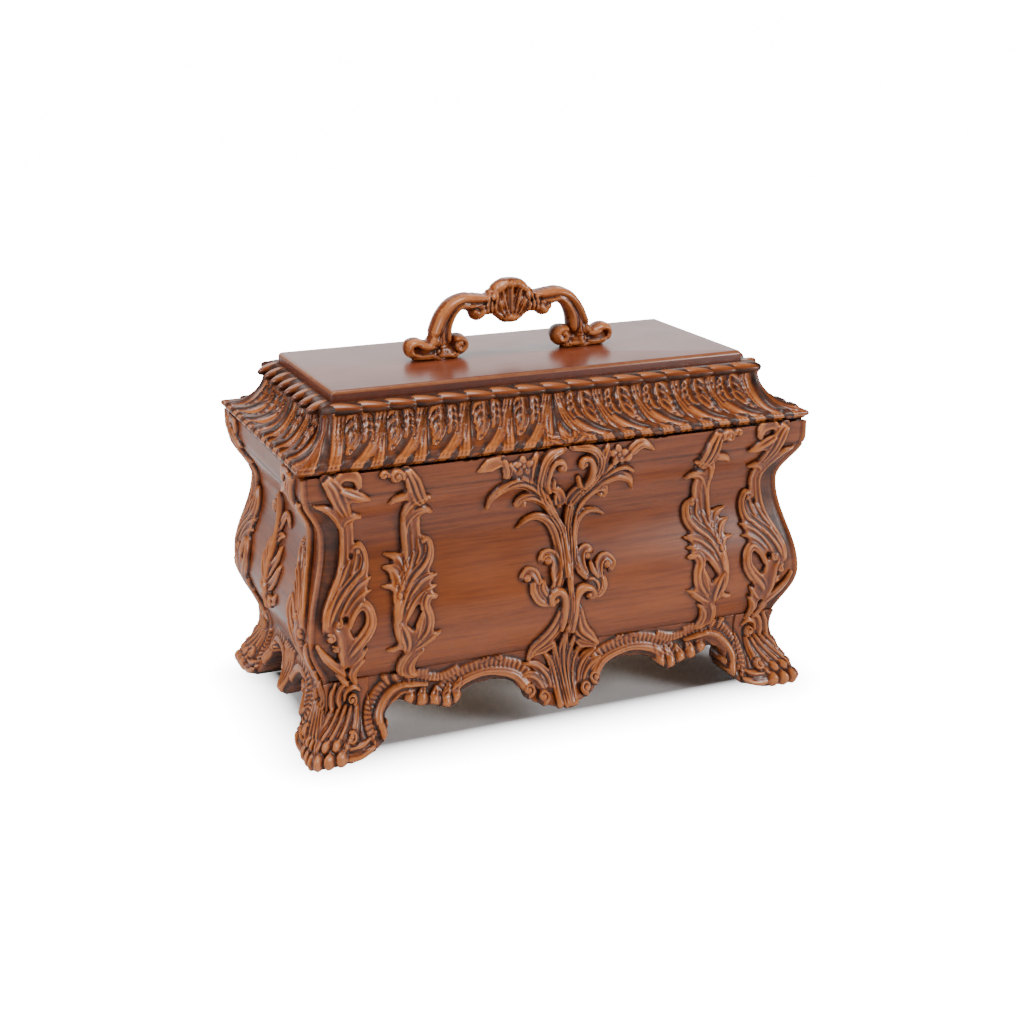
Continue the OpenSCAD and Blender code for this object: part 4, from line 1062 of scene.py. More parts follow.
CORNER_DROP = strands(
    (((131.6, 134), (132, 122), (133, 110), (136.6, 100), (140, 90), (141, 80)),
     (1.2, 1.6, 1.8, 2, 2, 1.2), 3.6, R),
    (((123.4, 136), (123.8, 126), (124.6, 116)), (1.2, 1.6, 1), 2.9),
    (((127.6, 135), (128, 125), (128.2, 112)), (1.2, 1.6, 1), 3.1),
    (((116.4, 138.4), (122, 139), (127.6, 137), (131, 131), (132, 122)), (0.5, 2, 2.5, 2.2, 1.2), 4, L, SINK),
    (((143.6, 148.4), (137.4, 146), (133.6, 140), (132.2, 131)), (0.5, 2, 2.4, 1.4), 4, L, SINK),
    (((126, 141), (128.4, 148), (131.6, 156), (136, 162)), (3.2, 4.2, 4.2, 2.6), 3.6, P, EASE),
    (((111.6, 148.8), (117, 150.4), (124, 153), (130, 156)), (0.4, 2.4, 2.9, 1.6), 4.5, L, SINK),
    (((118, 157), (119.6, 161.4), (125, 163), (130.4, 161)), (1.4, 2.4, 2.4, 1.6), 4.2, S),
    (((126.6, 113), (130.8, 106), (135, 98), (138.6, 89), (140, 79)), (1.4, 3.6, 3.8, 3.2, 1.6), 4.5, L, SINK),
    (((122.6, 121), (117.4, 120.4), (114.4, 114.6), (116.4, 107.4), (122.6, 102.6), (130, 96.6), (136, 88.6),
      (138.6, 79)),
     (1.2, 2.2, 2.6, 3.3, 3.8, 4, 3.6, 1.8), 4.8, L, SINK),
    (((120.4, 118.4), (122, 111.6), (125.6, 105)), (1.2, 2.4, 1.4), 4.6, L),
    (((111, 104), (116, 101.6), (122.4, 98.4), (128.6, 92), (133, 84)), (0.4, 2.3, 2.7, 2.5, 1.4), 4.3, L, SINK),
    (((111.8, 97.4), (117.4, 96), (123.6, 92.4), (129.4, 86)), (0.4, 1.7, 2, 1.2), 3.9, L, SINK),
    (((133, 82), (129, 74), (129.6, 65), (132, 56)), (3, 4.2, 3.9, 1.6), 4.2, H, SINK),
    (((126.4, 81), (123.6, 87), (118.6, 91), (114.2, 87.6), (113.6, 80.6), (117.4, 74.6), (123.6, 68.6), (130, 61)),
     (1.4, 1.9, 2.2, 2.4, 2.8, 3.1, 3, 1.6), 4.6, L, SINK),
    (((114.6, 77), (120, 70.4), (127, 64)), (0.4, 2, 1.4), 4, L),
    (((116.4, 67), (121, 62.6), (128, 57)), (0.4, 2.2, 1.6), 4.2, L),
    (((117.4, 60), (123.6, 56), (126.8, 50), (124, 42)), (0.4, 2.4, 2.8, 1.2), 4.1, L),
    (((145, 72), (141, 64), (136.4, 57), (131.6, 50)), (1, 2.4, 2.8, 1.2), 3.8, L),
    (((138.6, 52), (134.6, 47), (131, 42.6)), (0.8, 2.4, 1.2), 3.6, L),
)


class Motifs:
    """Canvases of every carved motif of the case."""

    @staticmethod
    def spray() -> Canvas:
        """The tall spray in the middle of a long side, with its palmette."""
        c = Canvas(-54, 54, 8, 164.5)
        for strand in PALMETTE:
            strand.carve(c)
        for x, z, turn in ((-12.5, 18, 1.2), (-20.5, 22.5, 1.2), (14, 19, -1.2), (20.5, 23.5, -1.2)):
            volute(c, (x, z), 4.2, 270, turn, 4.2)
        for strand in SPRAY:
            strand.carve(c, 1.1)
        for centre, radius in (((-23.4, 91.2), 2.0), ((-10.2, 98.6), 2.0), ((24.4, 92.6), 2.0), ((13.4, 98.6), 1.8),
                               ((-7.4, 77.6), 1.9), ((12.2, 78.0), 2.0), ((-5.6, 153.4), 1.5), ((9.2, 153.6), 1.4),
                               ((-23, 133.4), 2.0), ((22.8, 133.2), 1.8), ((5.6, 128.8), 1.9), ((-1.4, 128.6), 1.6)):
            c.blob(centre, (radius, radius), 4.7)
        for x in (-27, 29.2):
            for k in range(5):
                a = math.radians(90 + 72 * k)
                c.blob((x + 3.3 * math.cos(a), 156.6 + 3.0 * math.sin(a)), (2.7, 2.0), 4.2, 90 + 72 * k, hollow=0.35)
            c.blob((x, 156.6), (1.2, 1.2), 4.7)
        c.blob((35, 154.4), (2.8, 2.2), 4.2, 20, hollow=0.3)
        c.web(2.2, 2.4)
        c.finish()
        return c

    @staticmethod
    def leaf_drop() -> Canvas:
        """The hanging leaves beside the spray, for the right-hand place."""
        c = Canvas(72, 108, 40, 164.5)
        for strand in LEAF_DROP:
            strand.carve(c, 1.28)
        volute(c, (97.6, 159.4), 4.6, 200, -1.4, 4.4)
        volute(c, (104, 160.6), 3.0, 200, -1.1, 3.8)
        c.blob((80.6, 119), (1.8, 1.8), 4.6)
        c.web(2.6)
        c.finish()
        return c

    @staticmethod
    def corner_drop() -> Canvas:
        """The leaves beside a corner ridge, for the right-hand corner."""
        c = Canvas(110, 147.4, 40, 164.5)
        for strand in CORNER_DROP:
            strand.carve(c, 1.28)
        volute(c, (133, 83), 2.8, 120, 1.0, 4.6)
        volute(c, (137.4, 75.6), 3.2, 60, 1.1, 4.0)
        volute(c, (135.4, 69.6), 2.5, 60, 1.0, 3.8)
        c.blob((119.4, 118), (1.9, 1.9), 4.6)
        c.web(2.6)
        c.finish()
        return c

    @staticmethod
    def end_spray() -> Canvas:
        """The smaller ornament in the middle of the left end."""
        c = Canvas(-30, 30, 60, 140)
        for side in (-1, 1):
            for line, widths, height in (
                    (((0, 78), (7, 82), (13, 88), (17, 96)), (2.0, 3.0, 2.6, 0.8), 3.6),
                    (((0, 84), (5, 92), (10, 98), (11, 105)), (2.0, 2.8, 2.2, 0.8), 3.8),
                    (((0, 78), (6, 74), (12, 74), (16, 79)), (1.8, 2.6, 2.2, 0.8), 3.4),
                    (((0, 110), (5, 118), (11, 123), (16, 122), (17, 117)), (1.4, 2.2, 2.2, 1.8, 1.2), 3.6),
                    (((0, 104), (5, 109), (10, 110)), (1.4, 2.0, 0.8), 3.2)):
                c.stroke(flipped(line, side), widths, height, S, ends=(0.0, 0.12))
            volute(c, (side * 5.2, 72), 3.8, 90, -1.1 * side, 3.6)
        c.stroke(((0, 68), (0, 90), (0, 112), (0, 133)), (2.2, 3.0, 2.2, 0.8), 4.4, G)
        c.blob((0, 78), (3.4, 4.6), 4.8)
        c.finish()
        return c

    @staticmethod
    def _pleats(pitch: float, height: float, lift: float) -> Rule:
        """Rule for a pleated band: rounded pleats that thin out towards its outer edge."""
        def rule(along: Array, across: Array) -> Array:
            """Height at a place of the band."""
            wave = np.abs(np.sin(np.pi * along / pitch)) ** 0.8
            return lift + height * wave * (1 - 0.5 * across) * np.clip((1 - across) * 5, 0, 1)
        return rule

    @staticmethod
    def _lines(count: int, height: float, lift: float) -> Rule:
        """Rule for a band of parallel rounded lines, the same all along it."""
        def rule(_: Array, across: Array) -> Array:
            """Height at a place of the band."""
            crown = np.sqrt(np.clip(1 - (2 * across - 1) ** 2, 0, 1))
            return lift * crown + height * np.abs(np.sin(np.pi * count * across)) ** 0.7
        return rule

    @classmethod
    def long_apron(cls) -> Canvas:
        """The shaped apron of a long side."""
        c = Canvas(-114, 114, 0, 46.4)
        for m in (-1, 1):
            arch = flipped([(21, 24), (26, 31), (33, 35), (45, 37.5), (57, 35), (66, 29.5), (72, 25)], m)
            outer = cls._pleats(2.5, 1.5, 0.8)
            c.band(arch, 3.0 * m, 8.4 * m, outer)
            c.band(flipped([(60, 40), (70, 36.5), (78, 37), (86, 40), (94, 42)], m), 0.0, 5.0 * m, outer)
            c.band(arch, -3.2, 3.2, cls._lines(3, 1.2, 2.0))
            scroll = flipped([(80, 36), (88, 37.5), (95, 38), (101, 35), (106, 29), (109, 22), (107.6, 15)], m)
            c.band(scroll, 1.8 * m, 8.6 * m, cls._pleats(2.3, 1.3, 0.9))
            for x, z, w, h, turn in ((63, 25.5, 3.8, 4.2, 30), (69.5, 24.2, 3.8, 4.2, 10), (76, 26.0, 3.8, 4.4, -10),
                                     (83, 28.0, 4.0, 4.8, 0), (90, 30.0, 3.8, 4.4, 20)):
                c.blob((m * x, z), (w, h), 3.4, m * turn)
            for line in (((60, 36), (63, 30), (63, 23)), ((67, 34), (69, 28), (69.5, 22)),
                         ((74, 33), (76, 28), (77, 23)), ((81, 36), (83, 30), (84, 25)),
                         ((88, 36), (90, 31), (91, 27))):
                c.stroke(flipped(line, m), (1.0, 2.6, 2.2), 4.0, S)
            c.stroke(scroll, (1.4, 2.6, 2.9, 3.0, 3.0, 2.8, 2.2), 4.6)
            c.stroke(flipped([(88, 33.6), (95, 34), (100.4, 30), (103.6, 24.6), (103.6, 20)], m),
                     (1.0, 2.4, 2.7, 2.7, 1.6), 3.4, H)
            c.stroke(flipped([(108, 17), (106.6, 13), (103, 12.4), (100.2, 14.4)], m), (2.4, 2.6, 2.4, 1.8), 4.6)
            c.blob((m * 103.2, 19.4), (2.7, 2.7), 4.6)
            for x, z in ((98, 44.5), (92, 45.5), (103.6, 45)):
                c.stroke(flipped([(x - 2, z - 5), (x, z), (x + 1.6, z + 6)], m), (1.4, 2.2, 0.6), 3.0, L)
            c.stroke(flipped([(36, 44), (41, 49), (47, 44)], m), (1.4, 2.6, 1.0), 2.6, S)
        c.finish()
        return c

    @classmethod
    def short_apron(cls) -> Canvas:
        """The shaped apron of an end."""
        c = Canvas(-48, 48, 0, 46.4)
        for m in (-1, 1):
            arch = flipped([(7, 24), (12, 31), (20, 35), (28, 34.5), (34, 29), (38, 22), (42, 17)], m)
            c.band(arch, 2.8 * m, 8.0 * m, cls._pleats(2.8, 1.9, 0.2))
            c.band(arch, -3.0, 3.0, cls._lines(3, 1.2, 2.0))
            volute(c, (m * 30, 27.5), 5.0, 90, -1.2 * m, 4.0)
        for dx in (-6.0, -3.0, 0.0, 3.0, 6.0):
            c.stroke(((dx * 0.5, 15), (dx, 27), (dx * 1.3, 41)), (1.2, 1.9, 1.0), 3.8 - 0.1 * abs(dx), R)
        c.finish()
        return c

    @staticmethod
    def foot() -> Canvas:
        """One face of a foot: 0 at its inner edge and 35 at the corner ridge."""
        c = Canvas(0, 35, 0, 46.4)
        uu, vv = np.meshgrid(c.us, c.vs)
        angle = np.arctan2(vv - 22, uu + 13)
        away = np.hypot(vv - 22, uu + 13)
        frill = 0.9 + 1.3 * np.abs(np.sin(angle * 20)) ** 0.8
        c.h = frill * np.clip((19.5 - away) / 1.6, 0, 1) * np.clip((40 - vv) / 4, 0, 1)
        c.h = np.maximum(c.h, 0.9 * np.clip((away - 19) / 2, 0, 1))
        for line in ([(10, 33), (11, 25), (13, 17), (17, 10)], [(14, 32), (16.4, 24), (20, 16.6), (24, 11)],
                     [(18.6, 32), (22, 24), (26, 17), (30, 12)], [(23.6, 32), (27.4, 24), (31.4, 17.6), (35, 13)],
                     [(28.6, 32), (32, 25), (36, 19)]):
            c.stroke(line, (1.6, 2.6, 3.4, 2.8), 4.2, L, ends=(0.1, 0.0))
        c.stroke(((1, 9), (6, 6.4), (12, 5.4), (19, 6)), (1.0, 2.8, 3.2, 2.4), 3.8, L)
        c.stroke(((3, 13), (8, 10.4), (14, 10)), (0.8, 2.2, 1.6), 3.8, L)
        for x, z, w, h in ((19.4, 6.2, 3.6, 4.6), (26, 5.8, 3.6, 4.9), (32.6, 6.0, 3.6, 5.0)):
            c.blob((x, z), (w, h), 4.2)
        for x, z in ((22.6, 12.4), (29, 12.8), (34.6, 13.4)):
            c.blob((x, z), (2.7, 3.2), 4.2)
        volute(c, (13.4, 14.6), 3.8, 60, 1.3, 4.6)
        volute(c, (13.4, 34.4), 4.6, 240, -1.3, 4.4)
        c.stroke(((7, 39), (12, 41.6), (18, 39.6), (20, 34.6)), (0.8, 2.2, 2.4, 1.2), 4.0, L)
        c.stroke(((16, 45.6), (22, 42), (25, 36), (23.6, 31)), (0.8, 2.6, 2.8, 1.2), 3.8, L)
        c.stroke(((26, 45.6), (29.6, 40), (30.6, 34), (29.4, 29.6)), (0.8, 2.4, 2.6, 1.2), 3.6, L)
        edge = np.clip((35 - uu) / 3.0, 0, 1)
        c.h = c.h * edge + 1.8 * (1 - edge)
        c.finish()
        return c

    @staticmethod
    def cove(reach: float, tops: Sequence[float], last: float) -> Canvas:
        """The ribbed cove of a lid side, by place along it and distance down from its shoulder.

        Args:
            reach: half length of the side.
            tops: where pairs of ribs start along the side, leaning away from the middle.
            last: place of the last single rib of each half.
        """
        c = Canvas(-reach, reach, 0, 44)
        for x in (*tops, last, -last):
            d = math.copysign(1.0, x)
            steep = [(x, 0.5), (x + 1.8 * d, 10), (x + 4.4 * d, 20), (x + 8 * d, 30), (x + 11 * d, 40)]
            wide = [(x + 1.4 * d, 6), (x + 6 * d, 16), (x + 12.6 * d, 24.6), (x + 18.6 * d, 32), (x + 22.6 * d, 40)]
            for line in (steep,) if abs(x) == last else (steep, wide):
                for k in (-1, 0, 1):
                    c.stroke([(a + 2.0 * k, b) for a, b in line], (1.15, 1.25, 1.3, 1.3, 1.4), 3.3 - 0.5 * abs(k), R,
                             moat=0.35)
                c.blob((line[-1][0] + 0.4 * d, 39.4), (4.6, 3.2), 2.4)
                c.groove(((line[-1][0] - 1, 36.5), (line[-1][0] - 0.6, 42)), 0.5, 1.3)
            if abs(x) == last:
                continue
            c.stroke([(x + a * d, b) for a, b in ((14.5, 1), (14.6, 7), (16, 13), (19.4, 18.4), (22, 22.4))],
                     (2.6, 3.6, 3.4, 2.6, 1.3), 3.9, L, moat=0.6)
            for k in range(4):
                c.stroke([(x + p * d, q + 4.1 * k) for p, q in ((15.4, 1.6), (18.8, 3.4), (21.4 - 0.3 * k, 7.6))],
                         (1.0, 1.9, 1.1), 3.7 - 0.2 * k, L, moat=0.4)
                c.drill((x + (18.4 + 0.5 * k) * d, 7.2 + 4.1 * k), 0.85, 3.2)
            c.stroke([(x + a * d, b) for a, b in ((8.6, 1), (8.4, 7), (9.8, 12.4), (12, 15.6))],
                     (2.0, 2.6, 2.2, 1.0), 3.5, L, moat=0.6)
            for k in range(3):
                c.stroke([(x + p * d, q + 3.6 * k) for p, q in ((8.4, 2), (6.0, 3.6), (5.4 + 1.0 * k, 7.4))],
                         (0.9, 1.6, 0.9), 3.3, L, moat=0.4)
            c.drill((x + 11.8 * d, 9.6), 1.0, 3.2)
        for d in (-1, 1):
            for k in range(2):
                line = [(last + 9 + 7 * k + p, q + 9 * k)
                        for p, q in ((0, 1), (2.6, 9), (6.4, 18), (10.6, 27), (14, 36))]
                for e in (-1, 0, 1):
                    c.stroke([((p + 1.9 * e) * d, q) for p, q in line], (1.1, 1.2, 1.3, 1.3, 1.2),
                             3.1 - 0.4 * abs(e), R, moat=0.35)
        c.h += bulge(c.vs[:, None], at=35.4, width=0.8, height=0.9)
        return c

    @classmethod
    def long_cove(cls) -> Canvas:
        """The cove of a long side of the lid, with the palmette in its middle."""
        c = cls.cove(151, (-2.5, -25.5, -50.5, -75, -98, 4, 27, 51, 75.5, 98.5), 121)
        for m in (-1, 1):
            c.stroke(((m * 1, 35), (m * 5, 29), (m * 8, 23.6)), (2.2, 2.8, 0.8), 3.8, L)
            c.stroke(((m * 1, 37), (m * 7, 34), (m * 12, 29.6)), (2.0, 2.7, 0.7), 3.6, L)
            c.stroke(((m * 3, 40), (m * 9, 39.4), (m * 14, 36)), (1.8, 2.2, 1.4), 3.4, L)
            volute(c, (m * 15, 38.6), 3.0, 200 if m < 0 else -20, 1.1 * m, 3.2)
        c.stroke(((0.6, 39), (0.6, 28), (0.6, 18)), (2.4, 3.4, 0.8), 4.2, L)
        c.blob((0, 39), (3.6, 3.2), 3.4)
        c.finish()
        return c

    @classmethod
    def short_cove(cls) -> Canvas:
        """The cove of an end of the lid."""
        c = cls.cove(84, (-6, -30, 6, 30), 54)
        c.stroke(((0, 38), (0, 26), (0, 14)), (2.6, 3.8, 0.8), 4.0, L)
        c.blob((0, 39), (3.8, 3.4), 3.2)
        c.finish()
        return c

    @staticmethod
    def handle(foot_z: float, top_z: float) -> Canvas:
        """The bail handle seen from the front: half its thickness at every place.

        Args:
            foot_z: height of the board that it stands on.
            top_z: height of its crown.
        """
        c = Canvas(-64, 64, foot_z, top_z)
        for strand in strands(
            (((8, 229), (20, 229), (28, 230.8), (34.5, 228.5), (39.5, 222.5), (42, 216), (43.5, 209), (44, 203)),
             (6.0, 5.4, 4.4, 4.5, 4.9, 5.4, 6.6, 7.6), 7.0, R, WHOLE),
            (((12, 232), (22, 232.6), (29, 232.8), (36, 230), (41.5, 224), (45, 217), (47.5, 211)),
             (1.6, 2.6, 2.8, 2.8, 2.8, 2.6, 1.6), 7.9, R, SINK),
            (((16, 228), (24, 228.6), (30, 229), (34.6, 225), (37.6, 219), (38.5, 213), (38, 208)),
             (1.2, 1.6, 1.9, 2.0, 2.2, 2.4, 1.4), 7.6, R, SINK),
            (((46, 211), (49, 207.6), (53, 208), (57, 210), (60.6, 209), (60.4, 204.4), (56, 203)),
             (3.0, 3.0, 3.0, 2.8, 2.4, 2.2, 1.6), 7.4, R, WHOLE),
            (((34, 202.4), (44, 202.6), (57, 202.4)), (2.8, 3.6, 2.4), 6.8, R, WHOLE),
            (((11, 227), (16, 226), (20, 223.6)), (3.0, 3.6, 3.8), 7.4, R, WHOLE),
        ):
            strand.carve(c)
            replace(strand, line=tuple(flipped(strand.line))).carve(c)
        for m in (-1, 1):
            c.blob((m * 31.6, 207), (6.0, 6.0), 7.2)
            c.blob((m * 52.5, 205.4), (8.0, 3.4), 6.4)
            c.blob((m * 40, 204.6), (6.0, 3.6), 6.4)
            c.stroke(flipped(curl((31.6, 207.2), 4.4, 60, 1.1, 1.6), m), (2.0, 1.9, 1.4), 7.9)
            c.blob((m * 20.2, 223.9), (4.4, 4.2), 7.3)
            c.blob((m * 22.6, 225.2), (2.4, 2.2), 7.9)
            for x in (9.6, 12.0, 14.3):
                c.stroke(flipped([(x + 0.6, 223.6), (x + 0.9, 228.6), (x - 0.6, 233.4)], m), (0.9, 1.25, 0.9), 8.0)
        c.stroke(((-11, 232), (-7, 237.6), (0, 239.6), (7, 237.6), (11, 232)), (2.4, 3.0, 3.2, 3.0, 2.4), 6.6, R)
        for k in (-3, 3, -2, 2, -1, 1, 0):
            a = math.radians(90 - 14.5 * k)
            r = 23.2 - 0.7 * abs(k) ** 1.4
            base = (1.1 * k, 218.6)
            tip = (base[0] * 0.4 + r * math.cos(a), base[1] - 3 + r * math.sin(a))
            mid = (0.5 * (base[0] + tip[0]), 0.5 * (base[1] + tip[1]))
            c.stroke((base, mid, tip), (1.6, 2.3, 2.4), 7.8 - 0.3 * abs(k), L)
        c.blob((0, 220.2), (5.0, 2.8), 7.0)
        c.finish()
        return c


# The case
LONG_EDGE: tuple[Point, ...] = (
    (0, 12), (.05, 12.5), (.1, 14), (.16, 16.5), (.2, 21), (.23, 26.5), (.28, 30), (.36, 31.5), (.45, 31), (.52, 28.5),
    (.55, 23.5), (.6, 21), (.65, 22.5), (.69, 24.5), (.75, 24.5), (.8, 26.5), (.84, 29.5), (.89, 28.5), (.93, 23.5),
    (.92, 17.5), (.95, 11.5), (1, 7))
SHORT_EDGE: tuple[Point, ...] = (
    (0, 14), (.12, 15), (.2, 20), (.28, 26), (.4, 30), (.55, 30), (.68, 27), (.76, 20), (.84, 15), (1, 8))


@dataclass
class Case:
    """The carved case: panels, aprons, feet and the leaves laid on them."""

    finishes: Finishes
    shape: CaseShape
    foot_w: float = 35.0
    bead_r: float = 1.3
    bead_h: float = 0.8
    seat_r: float = 15.3
    seat_x: float = 135.45
    crank_z: float = 127.0
    inside_w: float = 126.0
    inside_d: float = 60.0
    rim_gap: float = 0.05
    mesh: float = 0.62
    laid: list[tuple[Side, Canvas, Array, bool]] = field(default_factory=list)

    def build(self) -> None:
        """Make every carved piece of the case."""
        self.applied()
        for side in Side:
            self.panel(side)
            self.apron(side)
        self.feet()

    def wood(self, side: Side) -> bpy.types.Material:
        """The finish whose grain runs along a side."""
        return self.finishes.carved_long if side.long else self.finishes.carved_short

    def carved(self, name: str, parts: tuple[Array, Array, Array], material: bpy.types.Material, node: str) -> None:
        """Make a carved piece of the case from its corners, faces and wear."""
        verts, faces, tone = parts
        make_piece(name, verts, faces, material, "case", [node], tone)

    def panel(self, side: Side) -> None:
        """The bare swelling panel of a side, from the base to the rim."""
        s = self.shape
        ref, half = s.halves(side)
        z = np.concatenate([np.arange(s.base_h, s.rim_h, 1.0), [s.rim_h - self.rim_gap]])
        core = np.linspace(-1, 1, int(half * 2 / 1.6))
        edge = 1 - np.array([0, .3, .6, .9, 1.2, 1.6, 2.0, 2.5, 3.1, 4, 5]) / half
        share = np.unique(np.round(np.concatenate([core[np.abs(core) < edge.min()], edge, -edge]), 6))
        q, zz = np.meshgrid(share, z)
        gap = (1 - np.abs(q)) * half
        h = self.bead_h * np.sqrt(np.clip(1 - (gap / self.bead_r) ** 2, 0, 1))
        h = h - bulge(zz, at=150.2, width=0.7, height=0.5) - bulge(gap, at=2.4, width=0.5, height=0.35)
        # The bead's crest is painted lighter and its grooves darker, a band along the lower edge is painted darker, and
        # painted contact shade is laid round the carving.
        wear_and_painted_light = 0.5 * np.clip(h, -0.6, 1) - bulge(zz, at=s.base_h, width=2.5, height=0.22)
        wear_and_painted_light = wear_and_painted_light - self.shade(side, q * (half - s.stand_in(zz)), zz)
        front = self.wrap(side, q, zz, h)
        if side is Side.RIGHT:
            seat = np.hypot(front[..., 1], front[..., 2] - self.crank_z) < self.seat_r
            front[..., 0] = np.where(seat, np.minimum(front[..., 0], self.seat_x), front[..., 0])
        depth = self.inside_d if side.long else self.inside_w
        back = side.turned(q * (half - (ref - depth)), np.full_like(zz, -depth), zz)
        keep = np.ones((len(z) - 1, len(share) - 1), bool)
        name = ("front_panel", "right_end_panel", "back_panel", "left_end_panel")[side.value]
        self.carved("swelling_" + name, closed_patch(front, back, keep, wear_and_painted_light), self.wood(side), name)

    def shade(self, side: Side, u: Array, z: Array) -> Array:
        """Painted contact shade round the carving that lies on a panel, at some places of it."""
        total = np.zeros_like(u)
        for where, canvas, cover, flip in self.laid:
            if where is not side:
                continue
            at = -u if flip else u
            on = (at > canvas.us[0]) & (at < canvas.us[-1]) & (z > canvas.vs[0]) & (z < canvas.vs[-1])
            total = np.where(on, np.maximum(total, canvas.sample(cover, at, z)), total)
        return total

    def wrap(self, side: Side, share: Array, z: Array, h: Array) -> Array:
        """Points of a whole side whose ends lie in the mitre whatever their height."""
        s = self.shape
        ref, half = s.halves(side)
        slope = s.slope(z)
        lean = np.sqrt(1 + slope**2)
        off = s.stand_in(z) - h / lean
        return side.turned(share * (half - off), -(ref - off), z + h * slope / lean)

    def apron(self, side: Side) -> None:
        """The shaped apron between two feet."""
        s = self.shape
        ref, half = s.halves(side)
        reach = half - self.foot_w
        lower = np.array([(a * reach, b) for a, b in (LONG_EDGE if side.long else SHORT_EDGE)])
        outline = np.vstack([lower, [[reach, 60], [-reach, 60]], flipped(lower[::-1])])
        canvas = Motifs.long_apron() if side.long else Motifs.short_apron()
        uu, zz = np.meshgrid(np.linspace(-reach, reach, int(2 * reach / self.mesh) + 1),
                             np.linspace(0, s.base_h, int(s.base_h / self.mesh) + 1))
        keep = inside(outline, *(0.25 * (g[:-1, :-1] + g[1:, 1:] + g[:-1, 1:] + g[1:, :-1]) for g in (uu, zz)))
        uu, zz = eased_outline(uu, zz, keep)
        top = zz > s.base_h - 0.8
        zz = np.where(top, np.maximum(zz, np.where(zz > s.base_h - 0.3, s.base_h, zz)), zz)
        soft = blur(np.pad(keep, ((0, 1), (0, 1)), mode="edge").astype(float), 3)
        soft = np.where(zz > s.base_h - 6, 1.0, soft)
        h = canvas.height_at(uu, zz) - 1.8 * (1 - np.clip((soft - 0.45) / 0.45, 0, 1)) ** 2
        front = s.place(side, uu, zz, h)
        back = side.turned(uu, np.full_like(zz, -(ref - 25)), zz)
        name = ("front_apron", "right_apron", "back_apron", "left_apron")[side.value]
        self.carved("shaped_" + name, closed_patch(front, back, keep, canvas.wear_and_painted_light_at(uu, zz)), self.wood(side), name)

    def feet(self) -> None:
        """The four scroll feet, each carved on its two outer faces."""
        s = self.shape
        canvas = Motifs.foot()
        rows, cols = 84, 58
        k, a = np.meshgrid(np.linspace(0, 1, rows), np.linspace(-1, 1, 2 * cols + 1), indexing="ij")
        share = 1 - np.abs(a)
        low = 6.5 * np.clip(1 - share / 0.62, 0, 1) ** 1.3
        low = np.where(share > 0, low, 6.5)
        z = low + (s.base_h - low) * k
        nominal = share * self.foot_w
        h = canvas.height_at(nominal, z)
        under = np.clip((z - low) / 1.6, 0, 1)
        h = h * under - 1.3 * (1 - under) ** 2
        slope = s.slope(z)
        lean = np.sqrt(1 + slope**2)
        off = np.maximum(s.stand_in(z) - h / lean, -4.0)
        zz = np.where(k == 1, s.base_h, np.maximum(z + h * slope / lean * (z > 3), 0))
        inner_x, inner_y = s.half_w - self.foot_w, s.half_d - self.foot_w
        far_x, far_y = s.half_w - off, s.half_d - off
        x = np.where(a <= 0, inner_x + (far_x - inner_x) * share, far_x)
        y = np.where(a <= 0, far_y, inner_y + (far_y - inner_y) * share)
        number = numbered(*a.shape)
        faces = np.stack([number[:-1, :-1], number[:-1, 1:], number[1:, 1:], number[1:, :-1]], -1)
        out = faces.reshape(-1, 4).tolist()
        base, last = number.size, rows - 1
        for i in range(last):
            out.append([base + i, number[i, 0], number[i + 1, 0], base + i + 1])
            out.append([number[i, -1], base + i, base + i + 1, number[i + 1, -1]])
        for j in range(2 * cols):
            out.append([number[0, j + 1], number[0, j], base])
            out.append([number[-1, j], number[-1, j + 1], base + last])
        # The underside where the foot curls in is painted darker, as painted shade.
        tone = np.concatenate([(canvas.wear_and_painted_light_at(nominal, z) - 0.35 * (1 - under)).ravel(), np.full(rows, BACK_PAINTED_SHADE)])
        for name, sx, sy in (("front_left", -1, -1), ("front_right", 1, -1), ("back_right", 1, 1),
                             ("back_left", -1, 1)):
            spine = np.stack([np.full(rows, sx * inner_x), np.full(rows, sy * inner_y), zz[:, 0]], -1)
            verts = np.vstack([np.stack([sx * x, sy * y, zz], -1).reshape(-1, 3), spine])
            ways = out if sx * sy > 0 else [f[::-1] for f in out]
            self.carved("scroll_foot_" + name, (verts, ways, tone), self.finishes.carved_upright, "foot_" + name)

    def relief(self, canvas: Canvas, side: Side, flip: bool, step: float,
               share: bool) -> tuple[Array, Array, Array]:
        """Carved work cut out of its canvas and laid on a side.

        Args:
            canvas: the carving.
            side: the side that it lies on.
            flip: lay it mirrored, on the left half.
            step: mesh size.
            share: squeeze it between the foot's inner edge and the corner ridge.

        Returns:
            Corners, faces and wear.
        """
        s = self.shape
        _, half = s.halves(side)
        uu, zz = np.meshgrid(np.arange(canvas.us[0], canvas.us[-1], step), np.arange(canvas.vs[0], canvas.vs[-1], step))
        keep = canvas.height_at(uu[:-1, :-1] + step / 2, zz[:-1, :-1] + step / 2) > 0.35
        uu, zz = eased_outline(uu, zz, keep)
        h = canvas.height_at(uu, zz)
        wear_and_painted_light = canvas.wear_and_painted_light_at(uu, zz)
        h = np.clip(h, 0.12, s.stand_in(zz) + 3.95)
        if share:
            inner = half - self.foot_w - 2
            reach = half - s.stand_in(zz)
            nominal = uu - (s.half_w - half)
            uu = inner + (nominal - inner) * (reach - inner - 1.0) / (half - inner)
        # The carving's blurred outline, kept to paint contact shade on the panel round it.
        self.laid.append((side, canvas, 0.3 * np.clip(blur(np.clip(canvas.h / 2.2, 0, 1), 3) * 1.5, 0, 1), flip))
        if flip:
            uu, zz, h, wear_and_painted_light, keep = -uu[:, ::-1], zz[:, ::-1], h[:, ::-1], wear_and_painted_light[:, ::-1], keep[:, ::-1]
        front = s.place(side, uu, zz, h)
        back = s.place(side, uu, zz, np.full_like(h, -0.7))
        return closed_patch(front, back, keep, wear_and_painted_light)

